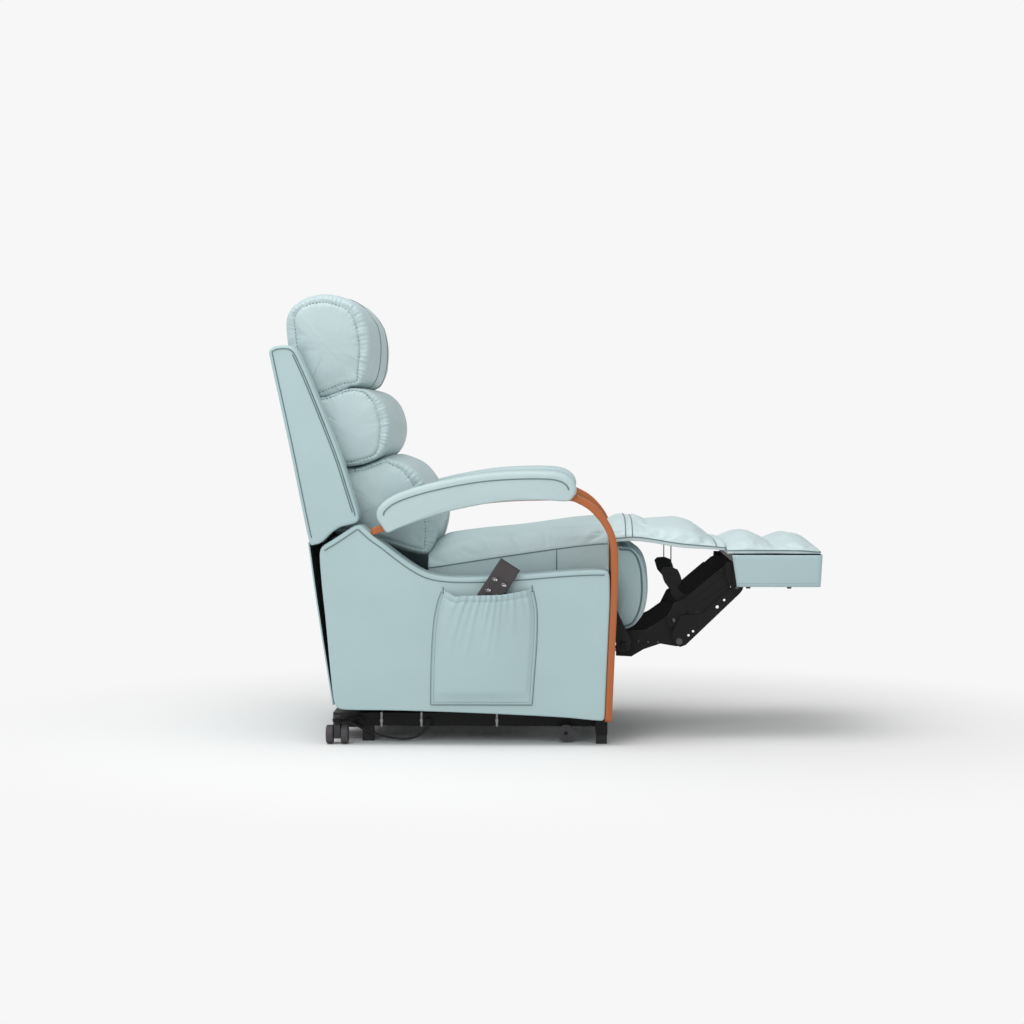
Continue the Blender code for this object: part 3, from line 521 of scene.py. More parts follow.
def acrossLoft(name, facts):
    around = facts["around"]
    line = smoothLine(facts["outline"], around, closed=True)
    normals = outwards(line)
    seam = insetLine(line, normals, facts["insets"])
    centre = sum(line, Vector((0, 0))) / around
    low, high = facts["low"], facts["high"]
    middle, half = (low + high) / 2, (high - low) / 2
    flat = half - facts["round"]
    steps = max(int(2 * flat / facts["pitch"]), 2)
    rings, kinds = [], []

    def addRing(points, y, kind):
        rings.append([Vector((p.x, middle + y, p.y)) for p in points])
        kinds.append(kind)

    def faceSide(way):
        face = []
        for share in (0.05, 0.13, 0.26, 0.42, 0.6, 0.8):
            bulge = facts["dome"] * (1 - (1 - share) ** 2.2)
            face.append(([p.lerp(centre, share) for p in seam], way * (half + bulge), "face"))
        corner = []
        turns = 5
        for k in range(turns + 1):
            angle = math.pi / 2 * k / turns
            points = [a.lerp(b, 1 - math.cos(angle)) for a, b in zip(line, seam)]
            drop = facts.get("groove", 0.0) if k == turns else 0.0
            corner.append((points, way * (flat + facts["round"] * math.sin(angle) - drop),
                           "seam" if k == turns else "corner"))
        return corner + face

    for points, y, kind in reversed(faceSide(-1)):
        addRing(points, y, kind)
    for k in range(1, steps):
        y = -flat + 2 * flat * k / steps
        crown = facts.get("crown", 0.0) * (1 - (y / flat) ** 2)
        addRing([p + n * crown * max(n.x, 0) for p, n in zip(line, normals)], y, "top")
    for points, y, kind in faceSide(1):
        addRing(points, y, kind)
    piece = loft(name, rings)
    return piece, rings, kinds, normals


def shownPlaces(piece):
    # where the piece's own points end up once it is subdivided
    bm = bmesh.new()
    bm.from_mesh(piece.data)
    places = []
    for v in bm.verts:
        count = len(v.link_edges)
        faces = sum((f.calc_center_median() for f in v.link_faces), Vector()) / count
        edges = sum((e.other_vert(v).co for e in v.link_edges), Vector()) / count
        places.append((faces + edges + v.co * (count - 2)) / count)
    bm.free()
    return places


puckerReach = ((1, 0.6), (-1, 1.0), (-2, 0.7), (-3, 0.3))  # rows from the seam, share of the height


def cushion(name, facts, finish, body, slotName, *nodes):
    piece, rings, kinds, normals = acrossLoft(name, facts)
    around = facts["around"]
    seamRows = [i for i, kind in enumerate(kinds) if kind == "seam"]
    if facts.get("puff"):
        held = []
        faceRows = kinds.count("face") // 2
        for row in range(len(rings)):
            inward = min(row, len(rings) - 1 - row)
            calm = 1.0 if inward >= faceRows else (0.15 + 0.85 * inward / faceRows) ** 1.5
            held += [0.0 if row in seamRows else facts["hold"](way) * calm for way in normals]
        held += [0.1, 0.1]
        puff(piece, held, facts["puff"])
    height = facts.get("pucker", 0.0)
    for row in seamRows if height else ():
        way = -1 if row < len(rings) / 2 else 1
        for i, normal in enumerate(normals):
            frontness = 0.35 + 0.65 * max(normal.x, normal.y, 0.0)
            pinch = height * random.uniform(0.3, 1.0) * frontness * (1 if i % 2 else -1)
            for step, share in puckerReach:
                point = piece.data.vertices[(row + way * step) * around + i]
                point.co += (Vector((normal.x, 0, normal.y)) * 0.6 + Vector((0, way, 0))) * pinch * share
    dress(piece, finish, body, slotName, *nodes)
    subdivide(piece)
    places = shownPlaces(piece)
    return [places[row * around:(row + 1) * around] for row in range(len(rings))], seamRows


def creaseHold(way):
    # the tops and undersides press on their neighbours, so only the front and sides swell
    return max(0.15, min(1.0, 0.35 + 0.9 * way.x)) if abs(way.y) > 0.6 else 1.0


pillows = {
    "head_pillow": {
        "outline": mm(
            (-604, 835), (-575, 841.5), (-544, 850), (-495, 869), (-475, 871), (-458, 877), (-446, 893),
            (-440, 920), (-437, 965), (-445, 1018), (-463, 1058), (-496, 1082), (-543, 1093.5),
            (-581, 1090), (-611, 1076), (-629, 1053), (-634, 1025), (-626, 955), (-612, 870)),
        "insets": (0.024, 0.015, 0.021, 0.006), "crown": 0.006},
    "mid_pillow": {
        "outline": mm(
            (-571, 677.5), (-530, 677), (-484, 677), (-430, 690), (-407, 703), (-391, 727), (-385, 760),
            (-389, 792), (-403, 825), (-425, 848), (-450, 861), (-490, 863.5), (-544, 844.5), (-600, 829),
            (-590, 750)),
        "insets": (0.026, 0.012, 0.006, 0.006), "crown": 0.006},
    "lumbar_pillow": {
        "outline": mm(
            (-534, 514), (-460, 499), (-387, 476), (-338, 461), (-306, 455), (-286, 463), (-277, 485),
            (-276, 530), (-282, 565), (-302, 620), (-322, 651), (-348, 674), (-384, 690), (-407, 692.5),
            (-430, 684), (-484, 669), (-566, 670), (-556, 590)),
        "insets": (0.026, 0.012, 0.01, 0.016), "crown": 0.006}}
pillowSewing = {
    "around": 132, "margin": 0.009, "round": 0.045, "dome": 0.007, "groove": 0.006, "pitch": 0.0095,
    "pucker": 0.0062, "padded": 0.8, "hold": creaseHold,
    "puff": {"pressure": 5.0, "slack": 0.035, "bend": 0.35, "cap": 0.012}}


def makePillows():
    for name, facts in pillows.items():
        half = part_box(name)[1].y - pillowSewing["margin"]
        facts = {**pillowSewing, **facts, "low": -half, "high": half}
        rows, seamRows = cushion(name + "_cover", facts, padLeatherPaintedSheen, "backrest", "upholstery_pad", name)
        lines = [[p + Vector((0, out, 0)) for p in rows[r] + rows[r][:1]]
                 for out, r in zip((-0.0006, 0.0006), seamRows)]
        dress(stitches(name + "_stitching", lines), thread, "backrest", "upholstery_pad")
        if name == "head_pillow":
            picked = [min(range(len(rows)), key=lambda r: abs(rows[r][0].y - y)) for y in (-0.1, 0.1)]
            piping("head_pillow_piping", [rows[r] for r in picked], 0.0017, "backrest",
                   "upholstery_pad", True)


makePillows()
print("pillows sewn")


# arm pads, apron, wings and side panels: tight covers over boards
def mirrored(facts, sign):
    low, high = sorted((sign * facts["inner"], sign * facts["outer"]))
    return {**facts, "low": low, "high": high}


def faceLine(facts, depth, test, y, count=90):
    # a sewn line on the outer face, a given depth in from the edge, where test picks it
    line = smoothLine(facts["outline"], 240, closed=True)
    ways = outwards(line)
    picked = [p - n * depth for p, n in zip(line, ways)]
    inside = [test(p, n) for p, n in zip(picked, ways)]
    start = next((i for i in range(240) if inside[i] and not inside[i - 1]), 0)
    found = []
    for k in range(240):
        i = (start + k) % 240
        if not inside[i]:
            break
        found.append(Vector((picked[i].x, y, picked[i].y)))
    return smoothLine(found, count)


tight = {"around": 150, "dome": 0.0015, "pitch": 0.02}
pipingOut = 0.0008  # how far piping stands off a face
armPad = {
    **tight, "inner": 0.3, "outer": 0.3995, "round": 0.013, "insets": (0.01, 0.008, 0.013, 0.003),
    "outline": mm(
        (-411, 551), (-408, 575), (-379, 601), (-330, 621), (-258, 640), (-162, 657), (-66, 664), (18, 662),
        (56, 646), (70, 620), (62, 601), (49, 591.5), (15, 592.5), (-18, 594), (-114, 590), (-210, 573),
        (-282, 553), (-355, 527), (-379, 516), (-390, 518), (-399, 532)),
    "pipingDepth": 0.019, "padded": 0.9}
wing = {
    **tight, "inner": 0.31, "outer": 0.3845, "round": 0.008, "insets": (0.007, 0.005, 0.007, 0.006),
    "outline": mm(
        (-574, 492), (-597, 600), (-620, 714), (-646, 835), (-668, 938), (-668.5, 955), (-655, 963.5),
        (-636, 966), (-618, 964), (-602, 951), (-586, 918), (-570, 882), (-535, 795), (-499, 702),
        (-473, 620), (-454.5, 558), (-458, 541), (-474, 535), (-499, 528.5), (-520, 515), (-537, 498),
        (-550, 488.5), (-563, 486.5))}
sidePanel = {
    **tight, "inner": 0.2955, "outer": 0.3797, "round": 0.007, "insets": (0.006, 0.005, 0.006, 0.004),
    "outline": mm(
        (-550, 470), (-541, 484), (-523, 495), (-493, 514.5), (-464, 533.5), (-452, 535.5), (-441, 526),
        (-420, 507.5), (-391, 486.5), (-355, 458.5), (-319, 433.5), (-283, 416.5), (-234, 409), (-162, 409),
        (-66, 414), (30, 422), (100, 426), (140, 425.5), (148.5, 417), (150, 354), (147, 280), (144, 209),
        (140.5, 130), (137.5, 68), (130, 61.5), (30, 70), (-162, 79), (-356, 85), (-488, 86.5), (-510, 93),
        (-517, 110), (-527, 205), (-536, 305), (-545, 390))}
apron = {
    "around": 96, "dome": 0.004, "pitch": 0.012, "inner": -0.2175, "outer": 0.2175, "round": 0.01,
    "insets": (0.008, 0.002, 0.006, 0.008), "crown": 0.004, "groove": 0.0015,
    "hold": lambda way: 1.0 if way.x > 0.2 else 0.1, "padded": 0.7,
    "puff": {"pressure": 3.5, "slack": 0.02, "bend": 1.0, "cap": 0.008},
    "outline": mm(
        (166.5, 468.5), (185, 472.5), (204, 471), (222, 455), (232, 430), (236.5, 405), (238, 358),
        (231, 316), (216, 284), (201, 273), (183, 269), (166.5, 269), (166.5, 330), (166.5, 400))}


def makeTightCovers():
    for word, sign in sides:
        out = sign * pipingOut
        facts = mirrored(armPad, sign)
        cushion(f"arm_pad_cover_{word}", facts, padLeatherPaintedSheen, "chassis", "upholstery_pad", f"arm_pad_{word}")
        top = [faceLine(facts, facts["pipingDepth"], lambda p, n: n.y > -0.25 and p.y > 0.545, y)
               for y in (sign * facts["inner"] - out, sign * facts["outer"] + out)]
        piping(f"arm_pad_piping_{word}", top, 0.0015, "chassis", "upholstery_pad")

        facts = mirrored(wing, sign)
        cushion(f"wing_cover_{word}", facts, sideLeather, "backrest", "upholstery_side", f"wing_{word}")
        face = sign * facts["outer"] + out
        rear = faceLine(facts, 0.0085, lambda p, n: (n.x < 0 or n.y > 0.25) and p.y > 0.5, face)
        front = faceLine(facts, 0.0085, lambda p, n: n.x > 0.2 and 0.553 < p.y < 0.958, face)
        hem = faceLine(facts, 0.0135, lambda p, n: n.x > 0.5 and 0.56 < p.y < 0.945, face)
        piping(f"wing_piping_{word}", [rear, front, hem], 0.0013, "backrest", "upholstery_side")

        facts = mirrored(sidePanel, sign)
        cushion(f"side_panel_cover_{word}", facts, sideLeather, "chassis", "upholstery_side",
                f"side_panel_{word}")
        face = sign * facts["outer"] + out
        rim = faceLine(facts, 0.0125, lambda p, n: n.y > 0.12 and p.y > 0.36, face, 140)
        piping(f"side_panel_piping_{word}", [rim], 0.0013, "chassis", "upholstery_side")
    facts = {**apron, "low": apron["inner"], "high": apron["outer"]}
    rows, seamRows = cushion("front_apron_cover", facts, sideLeather, "chassis", "upholstery_side",
                             "front_apron")
    edges = [[p + Vector((0.0012, out, 0)) for p in rows[r] if p.x > 0.172]
             for out, r in zip((-0.001, 0.001), seamRows)]
    for edge in edges:
        edge.sort(key=lambda p: math.atan2(p.z - 0.37, p.x - 0.17))
    piping("front_apron_piping", edges, 0.0022, "chassis", "upholstery_side")


makeTightCovers()
print("arms, wings and side panels covered")


# seat, knee roll, calf pad and footrest pad: lofted along the chair
def ridges(facts, x, share):
    # small gathers that fan out from points beside the seams
    lift = 0.0
    for centre, reach, height, folds in facts.get("gathers", ()):
        away = (x - centre) / reach
        lift += height * math.exp(-away * away) * math.sin(folds * share * math.pi)
    return lift


def alongLoft(name, facts):
    stations = facts["stations"]
    start, end = facts["span"]
    across, side, under = 56, 4, 20
    rings = []
    spots = [start + (end - start) * k / (stations - 1) for k in range(stations)]
    for x in spots:
        base, seam = valueAt(facts["base"], x), valueAt(facts["seam"], x)
        top, square = valueAt(facts["top"], x), valueAt(facts["square"], x)
        half = facts["half"] - valueAt(facts.get("pinch", [(start, 0.0)]), x)
        ring = []
        for k in range(across + 1):
            angle = math.pi * k / across
            c, sn = math.cos(angle), math.sin(angle)
            y = half * math.copysign(abs(c) ** (2 / square), c)
            rise = abs(sn) ** 0.9
            z = seam + (top - seam) * rise + ridges(facts, x, k / across) * rise
            ring.append(Vector((x, y, z)))
        tuck = half - facts["tuck"]
        for k in range(1, side + 1):
            ring.append(Vector((x, -tuck, seam - (seam - base) * k / side)))
        for k in range(1, under):
            ring.append(Vector((x, -tuck + 2 * tuck * k / under, base)))
        for k in range(side, 0, -1):
            ring.append(Vector((x, tuck, seam - (seam - base) * k / side)))
        rings.append(ring)
    for ring, way in ((rings[0], -1), (rings[-1], 1)):
        middle = sum(ring, Vector()) / len(ring)
        ends = [[middle.lerp(p, share) + Vector((way * facts["nose"] * bulge, 0, 0)) for p in ring]
                for share, bulge in ((0.94, 0.6), (0.75, 0.9), (0.4, 1.0))]
        if way < 0:
            rings = ends[::-1] + rings
        else:
            rings = rings + ends
    return loft(name, rings), rings, across


def longCushion(name, facts, finish, node):
    piece, rings, across = alongLoft(name, facts)
    count = len(rings[0])
    bands = [r for r in range(3, len(rings) - 3)
             if any(abs(rings[r][0].x - x) < facts["bandWidth"] for x in facts["bands"])]
    held = []
    for r in range(len(rings)):
        closed = r < 3 or r >= len(rings) - 3
        for i in range(count):
            edge = min(i, across - i) / across if i <= across else -1
            held.append(0.0 if edge <= 0 or closed or r in bands else min(1.0, 0.35 + edge * 8))
    held += [0.0, 0.0]
    puff(piece, held, facts["puff"])
    subdivide(piece)
    places = shownPlaces(piece)
    rows = [places[r * count:(r + 1) * count] for r in range(len(rings))]
    lines = [[row[at] + Vector((0, out, 0)) for row in rows[3:-3]]
             for at, out in ((0, pipingOut), (across, -pipingOut))]
    piece.data.materials.append(finish)
    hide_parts(node)
    return piece, lines, [rows[r][:across + 1] for r in bands]


seatFacts = {
    "span": (-0.294, 0.147), "stations": 56, "half": 0.2795, "tuck": 0.0025, "nose": 0.003,
    "base": [(-0.294, 0.3885)],
    "seam": [
        (-0.294, 0.425), (-0.264, 0.429), (-0.118, 0.4525), (0.029, 0.4745), (0.127, 0.4865),
        (0.147, 0.4865)],
    "top": [
        (-0.294, 0.474), (-0.275, 0.481), (-0.246, 0.487), (-0.166, 0.497), (-0.069, 0.506), (0.029, 0.519),
        (0.1, 0.527), (0.147, 0.531)],
    "square": [(-0.294, 5.0), (0.0, 6.0), (0.147, 6.0)],
    "gathers": ((0.128, 0.03, 0.0034, 31), (0.075, 0.05, 0.002, 19)), "bands": (), "bandWidth": 0.001,
    "puff": {"pressure": 4.0, "slack": 0.03, "bend": 0.5, "cap": 0.01}}
kneeFacts = {
    "span": (0.151, 0.434), "stations": 52, "half": 0.268, "tuck": 0.001, "nose": 0.002,
    "base": [
        (0.151, 0.487), (0.188, 0.4892), (0.213, 0.49), (0.249, 0.4865), (0.323, 0.4742),
        (0.39, 0.47), (0.434, 0.4675)],
    "seam": [
        (0.151, 0.495), (0.188, 0.4985), (0.213, 0.5), (0.249, 0.496), (0.323, 0.484),
        (0.39, 0.478), (0.434, 0.4745)],
    "top": [
        (0.151, 0.531), (0.164, 0.538), (0.184, 0.546), (0.196, 0.541), (0.206, 0.541), (0.225, 0.532),
        (0.243, 0.5225), (0.252, 0.5235), (0.286, 0.527), (0.322, 0.529), (0.359, 0.519), (0.392, 0.501),
        (0.41, 0.4885), (0.417, 0.4865), (0.426, 0.49), (0.434, 0.486)],
    "square": [(0.151, 5.0), (0.2, 3.0), (0.3, 2.7), (0.41, 2.8), (0.434, 3.4)],
    "pinch": [
        (0.151, 0.0), (0.19, 0.002), (0.205, 0.002), (0.3, 0.0), (0.412, 0.004), (0.434, 0.001)],
    "gathers": ((0.2, 0.018, 0.003, 43), (0.415, 0.016, 0.003, 37), (0.25, 0.016, 0.002, 23)),
    "bands": (0.192, 0.208, 0.413), "bandWidth": 0.0028,
    "puff": {"pressure": 5.0, "slack": 0.04, "bend": 0.3, "cap": 0.01}}
footFacts = {
    "span": (0.4385, 0.667), "stations": 44, "half": 0.2685, "tuck": 0.0005, "nose": 0.002,
    "base": [(0.4385, 0.459)], "seam": [(0.4385, 0.4675), (0.6, 0.4675), (0.667, 0.464)],
    "top": [
        (0.4385, 0.482), (0.447, 0.49), (0.462, 0.496), (0.485, 0.4985), (0.518, 0.496), (0.54, 0.488),
        (0.5535, 0.479), (0.566, 0.487), (0.584, 0.4955), (0.612, 0.4965), (0.64, 0.488),
        (0.656, 0.478), (0.667, 0.468)],
    "square": [(0.4385, 2.6), (0.48, 2.8), (0.5535, 2.1), (0.6, 2.8), (0.667, 2.5)],
    "pinch": [(0.4385, 0.001), (0.48, 0.0), (0.5535, 0.005), (0.6, 0.0), (0.667, 0.002)],
    "gathers": ((0.5535, 0.02, 0.0028, 41), (0.452, 0.012, 0.002, 37)), "bands": (0.5535,),
    "bandWidth": 0.0028, "puff": {"pressure": 5.0, "slack": 0.04, "bend": 0.3, "cap": 0.009}}


def makeLongCushions():
    piece, lines, _ = longCushion("seat_cushion_cover", seatFacts, padLeatherPaintedSheen, "seat_cushion")
    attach(piece, "chassis")
    drops = [[Vector((0.021, way * 0.2778, z)) for z in (0.4725, 0.45, 0.42, 0.39)] for way in (1, -1)]
    piping("seat_cushion_piping", lines + drops, 0.0014, "chassis", "upholstery_pad")

    piece, lines, bandLines = longCushion("calf_pad_cover", kneeFacts, paintedLitLegLeather, "calf_pad")
    seams = meshOf(tubes("calf_pad_piping", lines + bandLines, 0.0013))
    seams.data.materials.append(seamLeather)
    applySteps(piece)
    for item in (piece, seams):
        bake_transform(item)

    piece, lines, _ = longCushion("footrest_pad_cover", footFacts, paintedLitLegLeather, "footrest_pad")
    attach(piece, "footrest")
    piping("footrest_pad_piping", lines, 0.0013, "footrest", "upholstery_pad")


def meshOf(curve):
    # a curve as a mesh of the same name
    made, name = meshNow(curve), curve.name
    bpy.data.objects.remove(curve, do_unlink=True)
    piece = bpy.data.objects.new(name, made)
    scene.collection.objects.link(piece)
    return piece


makeLongCushions()
print("seat and leg cushions sewn")


# bentwood struts
strut = {
    "line": mm(
        (-424, 516.5), (-395, 527), (-355, 541), (-282, 566), (-210, 584), (-114, 597), (-20, 601),
        (54, 600), (80, 591.5), (104, 577), (127, 554), (143, 531), (154, 506), (159.5, 480), (161, 450),
        (159.5, 354), (153, 209), (146.5, 60)),
    "inner": 0.3125, "outer": 0.3775, "thick": 0.017, "corner": 0.0035, "rings": 150}


def makeStruts(facts):
    line = [Vector((p.x, 0, p.y)) for p in smoothLine([Vector(p) for p in facts["line"]], facts["rings"])]
    halfThick, halfWide = facts["thick"] / 2, (facts["outer"] - facts["inner"]) / 2
    corner = facts["corner"]
    section = []
    for turn, (wide, thick) in enumerate(((1, 1), (-1, 1), (-1, -1), (1, -1))):
        for k in range(5):
            angle = math.pi / 2 * (turn + k / 4)
            section.append((wide * (halfWide - corner) + corner * math.cos(angle),
                            thick * (halfThick - corner) + corner * math.sin(angle)))
    for word, sign in sides:
        middle = sign * (facts["inner"] + facts["outer"]) / 2
        rings = []
        for i, here in enumerate(line):
            along = (line[min(i + 1, len(line) - 1)] - line[max(i - 1, 0)]).normalized()
            up = Vector((-along.z, 0, along.x))
            rings.append([here + up * t + Vector((0, middle + w, 0)) for w, t in section])
        piece = loft(f"arm_strut_wood_{word}", rings)
        layer = piece.data.uv_layers.new(name="run").data
        step = (line[1] - line[0]).length
        count = len(section)
        for loop in piece.data.loops:
            ring, at = divmod(loop.vertex_index, count)
            if loop.vertex_index >= count * len(rings):
                ring, at = (0 if loop.vertex_index == count * len(rings) else len(rings) - 1), 0
            layer[loop.index].uv = (ring * step + sign, section[at][0] + 3 * section[at][1])
        dress(piece, wood, "chassis", "wood", f"arm_strut_{word}")


makeStruts(strut)
print("struts bent")


# back cover and the skirt below it
backCover = {
    "seam": (0.507, 0.935, 0.293), "around": 120, "dome": 0.001, "pitch": 0.02, "low": -0.3085,
    "high": 0.3085, "round": 0.006, "insets": (0.004, 0.005, 0.005, 0.004),
    "outline": mm(
        (-576.5, 495), (-600, 603.5), (-624, 714), (-648, 825), (-672, 936), (-672, 948), (-664, 954),
        (-650, 955), (-637, 952), (-631.5, 944), (-629, 925), (-610.5, 840), (-586.5, 730), (-562.5, 620),
        (-540, 520), (-538, 496), (-548, 488), (-566, 487))}
skirt = {
    "half": 0.364, "thick": 0.0035, "sway": 0.0012,
    "line": mm(
        (-579, 490), (-573.5, 450), (-560, 351), (-538, 206), (-520.5, 96.5))}


def makeRear():
    cushion("back_cover", backCover, sideLeather, "backrest", "upholstery_side")
    low, high, reach = backCover["seam"]
    corners = [(low, -reach), (high, -reach), (high, reach), (low, reach)]
    line = []
    for (z0, y0), (z1, y1) in zip(corners, corners[1:] + corners[:1]):
        for k in range(20):
            z, y = z0 + (z1 - z0) * k / 20, y0 + (y1 - y0) * k / 20
            line.append(Vector((-0.5765 - (z - 0.495) * 0.2166 - 0.0006, y, z)))
    piping("back_cover_piping", [line], 0.0013, "backrest", "upholstery_side", True)

    line = smoothLine(skirt["line"], 41)
    bm = bmesh.new()
    bmesh.ops.create_grid(bm, x_segments=24, y_segments=40, size=0.5)
    for v in bm.verts:
        here = line[round((0.5 - v.co.y) * 40)]
        sway = skirt["sway"] * math.sin(v.co.x * 31 + here.y * 9) * (1 - abs(2 * v.co.x))
        v.co = Vector((here.x - sway, 2 * v.co.x * skirt["half"], here.y))
    turnTowards(bm, Vector((-1, 0, 0)))
    piece = keep("rear_skirt_cover", bm)
    thicken(piece, skirt["thick"], -1, 1)
    piece.data.materials.append(sideLeather)
    piece.data.materials.append(dustCover)
    applySteps(piece)
    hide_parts("rear_skirt")
    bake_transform(piece)


makeRear()
print("back closed")


# pocket on the right panel, with an elastic hem
pocket = {
    "bottom": 0.1, "columns": 120, "rows": 96, "panel": -0.3812, "depth": 0.0275, "thick": 0.0014,
    "left": [
        (0.1, -0.282), (0.21, -0.28), (0.3, -0.274), (0.35, -0.264), (0.378, -0.253)],
    "right": [
        (0.1, -0.037), (0.18, -0.031), (0.259, -0.0255), (0.33, -0.0255), (0.382, -0.035)],
    "hem": [
        (0.0, 0.378), (0.1, 0.37), (0.17, 0.363), (0.25, 0.365), (0.45, 0.3665), (0.65, 0.368),
        (0.85, 0.375), (0.96, 0.38), (1.0, 0.381)],
    "pleats": [
        (0.28, 0.62, -0.13, 0.0052), (0.35, 0.5, -0.1, 0.0044), (0.42, 0.66, -0.11, 0.005),
        (0.48, 0.36, -0.06, 0.004), (0.53, 0.44, -0.07, 0.0044), (0.585, 0.6, -0.06, 0.0052),
        (0.64, 0.64, -0.05, 0.005), (0.7, 0.3, -0.02, 0.0036), (0.77, 0.42, -0.01, 0.004),
        (0.84, 0.26, 0.02, 0.0034), (0.9, 0.22, 0.04, 0.003), (0.2, 0.3, -0.09, 0.0036)]}


def pocketPoint(facts, u, v, lift=0.0):
    top = valueAt(facts["hem"], u)
    z = facts["bottom"] + (top - facts["bottom"]) * v
    left, right = valueAt(facts["left"], z), valueAt(facts["right"], z)
    x = left + (right - left) * u
    edge = min(u, 1 - u) / 0.06
    sewn = min(max(edge - 0.35, 0.0), 1.0) * min(max((v - 0.03) / 0.1, 0.0), 1.0)
    sewn = sewn * sewn * (3 - 2 * sewn)
    swell = math.sin(math.pi * min(max(u, 0), 1)) ** 0.7 * (0.25 + 0.75 * v ** 0.6)
    depth = facts["depth"] * swell
    fold = 0.0
    for start, length, lean, height in facts["pleats"]:
        down = 1 - v
        if down < length:
            centre = start + lean * down / length
            width = 0.013 + 0.02 * down / length
            fold += height * (1 - down / length) ** 0.9 * math.exp(-((u - centre) / width) ** 2)
    gather = 0.0009 * math.sin(u * 2 * math.pi * 34) * min(max((v - 0.93) / 0.03, 0.0), 1.0)
    hem = -0.0035 * math.exp(-((v - 0.945) / 0.012) ** 2)
    return Vector((x, facts["panel"] - lift - sewn * (depth + fold + gather + hem), z))


def makePocket(facts):
    bm = bmesh.new()
    bmesh.ops.create_grid(bm, x_segments=facts["columns"], y_segments=facts["rows"], size=0.5)
    for v in bm.verts:
        v.co = pocketPoint(facts, v.co.x + 0.5, v.co.y + 0.5)
    turnTowards(bm, Vector((0, -1, 0)))
    piece = keep("side_pocket_cloth", bm)
    thicken(piece, facts["thick"], 1)
    dress(piece, sideLeather, "chassis", "upholstery_side", "side_pocket")
    border = []
    # the first line (inset 0) is laid as a painted shadow edge; the other two carry stitching
    for inset in (0.0, 0.008, 0.03):
        low = inset * 0.8
        rise = 0.985 - low
        route = [(inset, low + rise * k / 40) for k in range(40, -1, -1)]
        route += [(inset + (1 - 2 * inset) * k / 40, low) for k in range(1, 41)]
        route += [(1 - inset, low + rise * k / 40) for k in range(1, 41)]
        border.append([pocketPoint(facts, u, v, 0.0018 if inset else 0.0006) for u, v in route])
    # painted shadow: a thin dark piping line along the pocket's outer border stands in for the shade at the
    # pocket's edge
    rim = piping("side_pocket_painted_shadow_edge", border[:1], 0.001, "chassis", "upholstery_side")
    threads = stitches("side_pocket_stitching", border[1:], 0.0052, (0.003, 0.0009, 0.0009))
    dress(threads, seamLeather, "chassis", "upholstery_side")
    bars = [[pocketPoint(facts, u, 0.995, 0.002) + Vector((0, 0, shift)) for shift in (-0.006, 0, 0.01)]
            for u in (0.012, 0.988)]
    tacks = piping("side_pocket_bar_tacks", bars, 0.001, "chassis", "upholstery_side")


makePocket(pocket)
print("pocket sewn on")


# handset and its four buttons
handset = {
    "size": (0.055, 0.018, 0.17), "top": (-0.0885, 0.4405), "lean": math.radians(33), "face": -0.402,
    "panel": {"end": 0.04, "inset": 0.0028, "bulge": 0.006}, "cap": (0.015, 0.017), "arrow": 0.005}
keys = (
    ("button_lift_up", -0.0125, 0.052, 1), ("button_lift_down", -0.0125, 0.08, -1),
    ("button_recline", 0.0125, 0.052, 1), ("button_upright", 0.0125, 0.08, -1))


def handsetFrame(facts):
    lean = facts["lean"]
    along, across = Vector((math.sin(lean), 0, math.cos(lean))), Vector((math.cos(lean), 0, -math.sin(lean)))
    turn = Matrix((across, Vector((0, 1, 0)), along)).transposed().to_4x4()
    return Matrix.Translation((facts["top"][0], facts["face"], facts["top"][1])) @ turn


